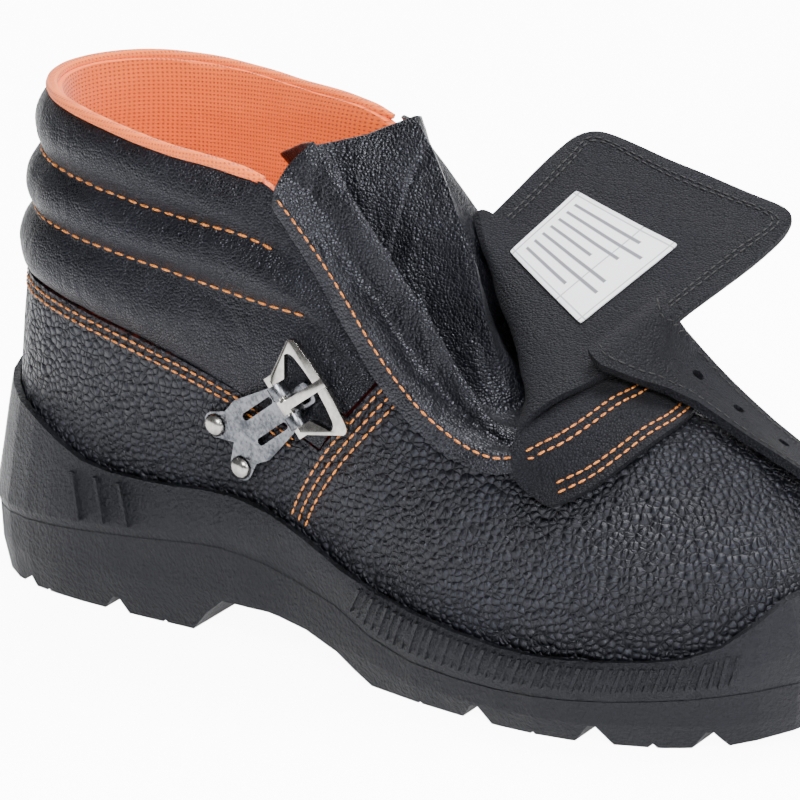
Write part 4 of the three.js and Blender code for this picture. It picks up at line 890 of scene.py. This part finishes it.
FORWARD, DOWN = (1, 0, 0), (0, 0, -1)
def rows_inside(name, *distances):
    """The named line, drawn in towards its own middle by each distance, in millimetres."""
    row = line(name)
    middle = sum(row, Vector()) / len(row)
    return [([p + (middle - p).normalized() * away * MM for p in row], 0.0, FORWARD)
            for away in distances]


ready(stitch_rows("vamp_stitches", rows_of("vamp_outer", FORWARD, 1.9, 4.9, 7.9)
                  + rows_of("vamp_inner", FORWARD, 1.9, 4.9, 7.9),
                  [upper], orange_thread, from_boot), "insole")
ready(stitch_rows("quarter_stitches", rows_of("quarter_top", DOWN, 2.0, 4.6), [upper, collar],
                  orange_thread, from_boot), "insole")
ready(stitch_rows("roll_stitches", rows_of("lower_roll", DOWN, 0.0)
                  + rows_of("upper_roll", DOWN, 0.0), [collar], orange_thread, from_boot,
                  pitch=0.0044, long=0.0034, thick=0.00048), "insole")
ready(stitch_rows("gusset_stitches", rows_of("throat", FORWARD, 0.0), [gusset], orange_thread,
                  from_boot), "insole")
ready(stitch_rows("flap_stitches", rows_of("flap_front", FORWARD, 0.0, -2.6)
                  + rows_of("flap_back", FORWARD, 0.0, -2.6), [flap], orange_thread, up_from_flap),
      "insole")
ready(stitch_rows("border_stitches", rows_inside("flap_border", 1.6, 3.4), [flap],
                  black_thread, up_from_flap, thick=0.00035), "grain_leather")
ready(stitch_rows("strap_stitches", rows_of("strap_outer", FORWARD, 0.0)
                  + rows_of("strap_inner", FORWARD, 0.0), [strap], black_thread, up_from_flap,
                  thick=0.0003), "grain_leather")


# Floor, lights and camera

bpy.ops.mesh.primitive_grid_add(x_subdivisions=2, y_subdivisions=2, size=8.0, location=(0.1, 0, 0))
floor = bpy.context.object
floor.name = "floor"
bpy.ops.object.transform_apply(location=True)
paint(floor, pale_floor("pale_floor"))


def soft_light(name, where, size, power, target=(0.1, 0.0, 0.07), tint=(1, 1, 1)):
    lamp = bpy.data.lights.new(name, "AREA")
    lamp.shape = "RECTANGLE"
    lamp.size, lamp.size_y = size
    lamp.energy = power
    lamp.color = tint
    holder = bpy.data.objects.new(name, lamp)
    scene.collection.objects.link(holder)
    holder.location = where
    holder.rotation_euler = (Vector(target) - Vector(where)).to_track_quat("-Z", "Y").to_euler()


soft_light("key_light", (0.75, -1.0, 1.1), (0.6, 0.6), 34)
soft_light("top_light", (0.2, 0.6, 1.5), (1.1, 0.8), 48)
soft_light("side_light", (1.5, -0.4, 0.8), (0.5, 0.8), 16)
soft_light("rim_light", (-0.9, 0.9, 0.8), (0.7, 0.7), 7)

world = bpy.data.worlds.new("studio")
scene.world = world
world.use_nodes = True
world.node_tree.nodes["Background"].inputs["Color"].default_value = (0.95, 0.97, 1.0, 1)
backdrop = world.node_tree
behind = math_node(backdrop, "MULTIPLY_ADD", add(backdrop, "ShaderNodeLightPath").outputs[0], 9.0)
behind.node.inputs[2].default_value = 0.25
backdrop.links.new(behind, backdrop.nodes["Background"].inputs["Strength"])

AZIMUTH, ELEVATION = math.radians(31), math.radians(20)
toward = Vector((math.sin(AZIMUTH) * math.cos(ELEVATION),
                 -math.cos(AZIMUTH) * math.cos(ELEVATION), math.sin(ELEVATION)))
right = Vector((math.cos(AZIMUTH), math.sin(AZIMUTH), 0))
up = toward.cross(right)
aim = Vector((0.11, 0, 0.06)) + right * (400 - 427.5) / 3280 + up * (444.9 - 400) / 3280
lens = bpy.data.cameras.new("photo_camera")
lens.lens = 265.7
lens.sensor_width = 36
lens.clip_end = 50
camera = bpy.data.objects.new("photo_camera", lens)
scene.collection.objects.link(camera)
camera.location = aim + toward * 1.8
camera.rotation_euler = (-toward).to_track_quat("-Z", "Y").to_euler()
scene.camera = camera
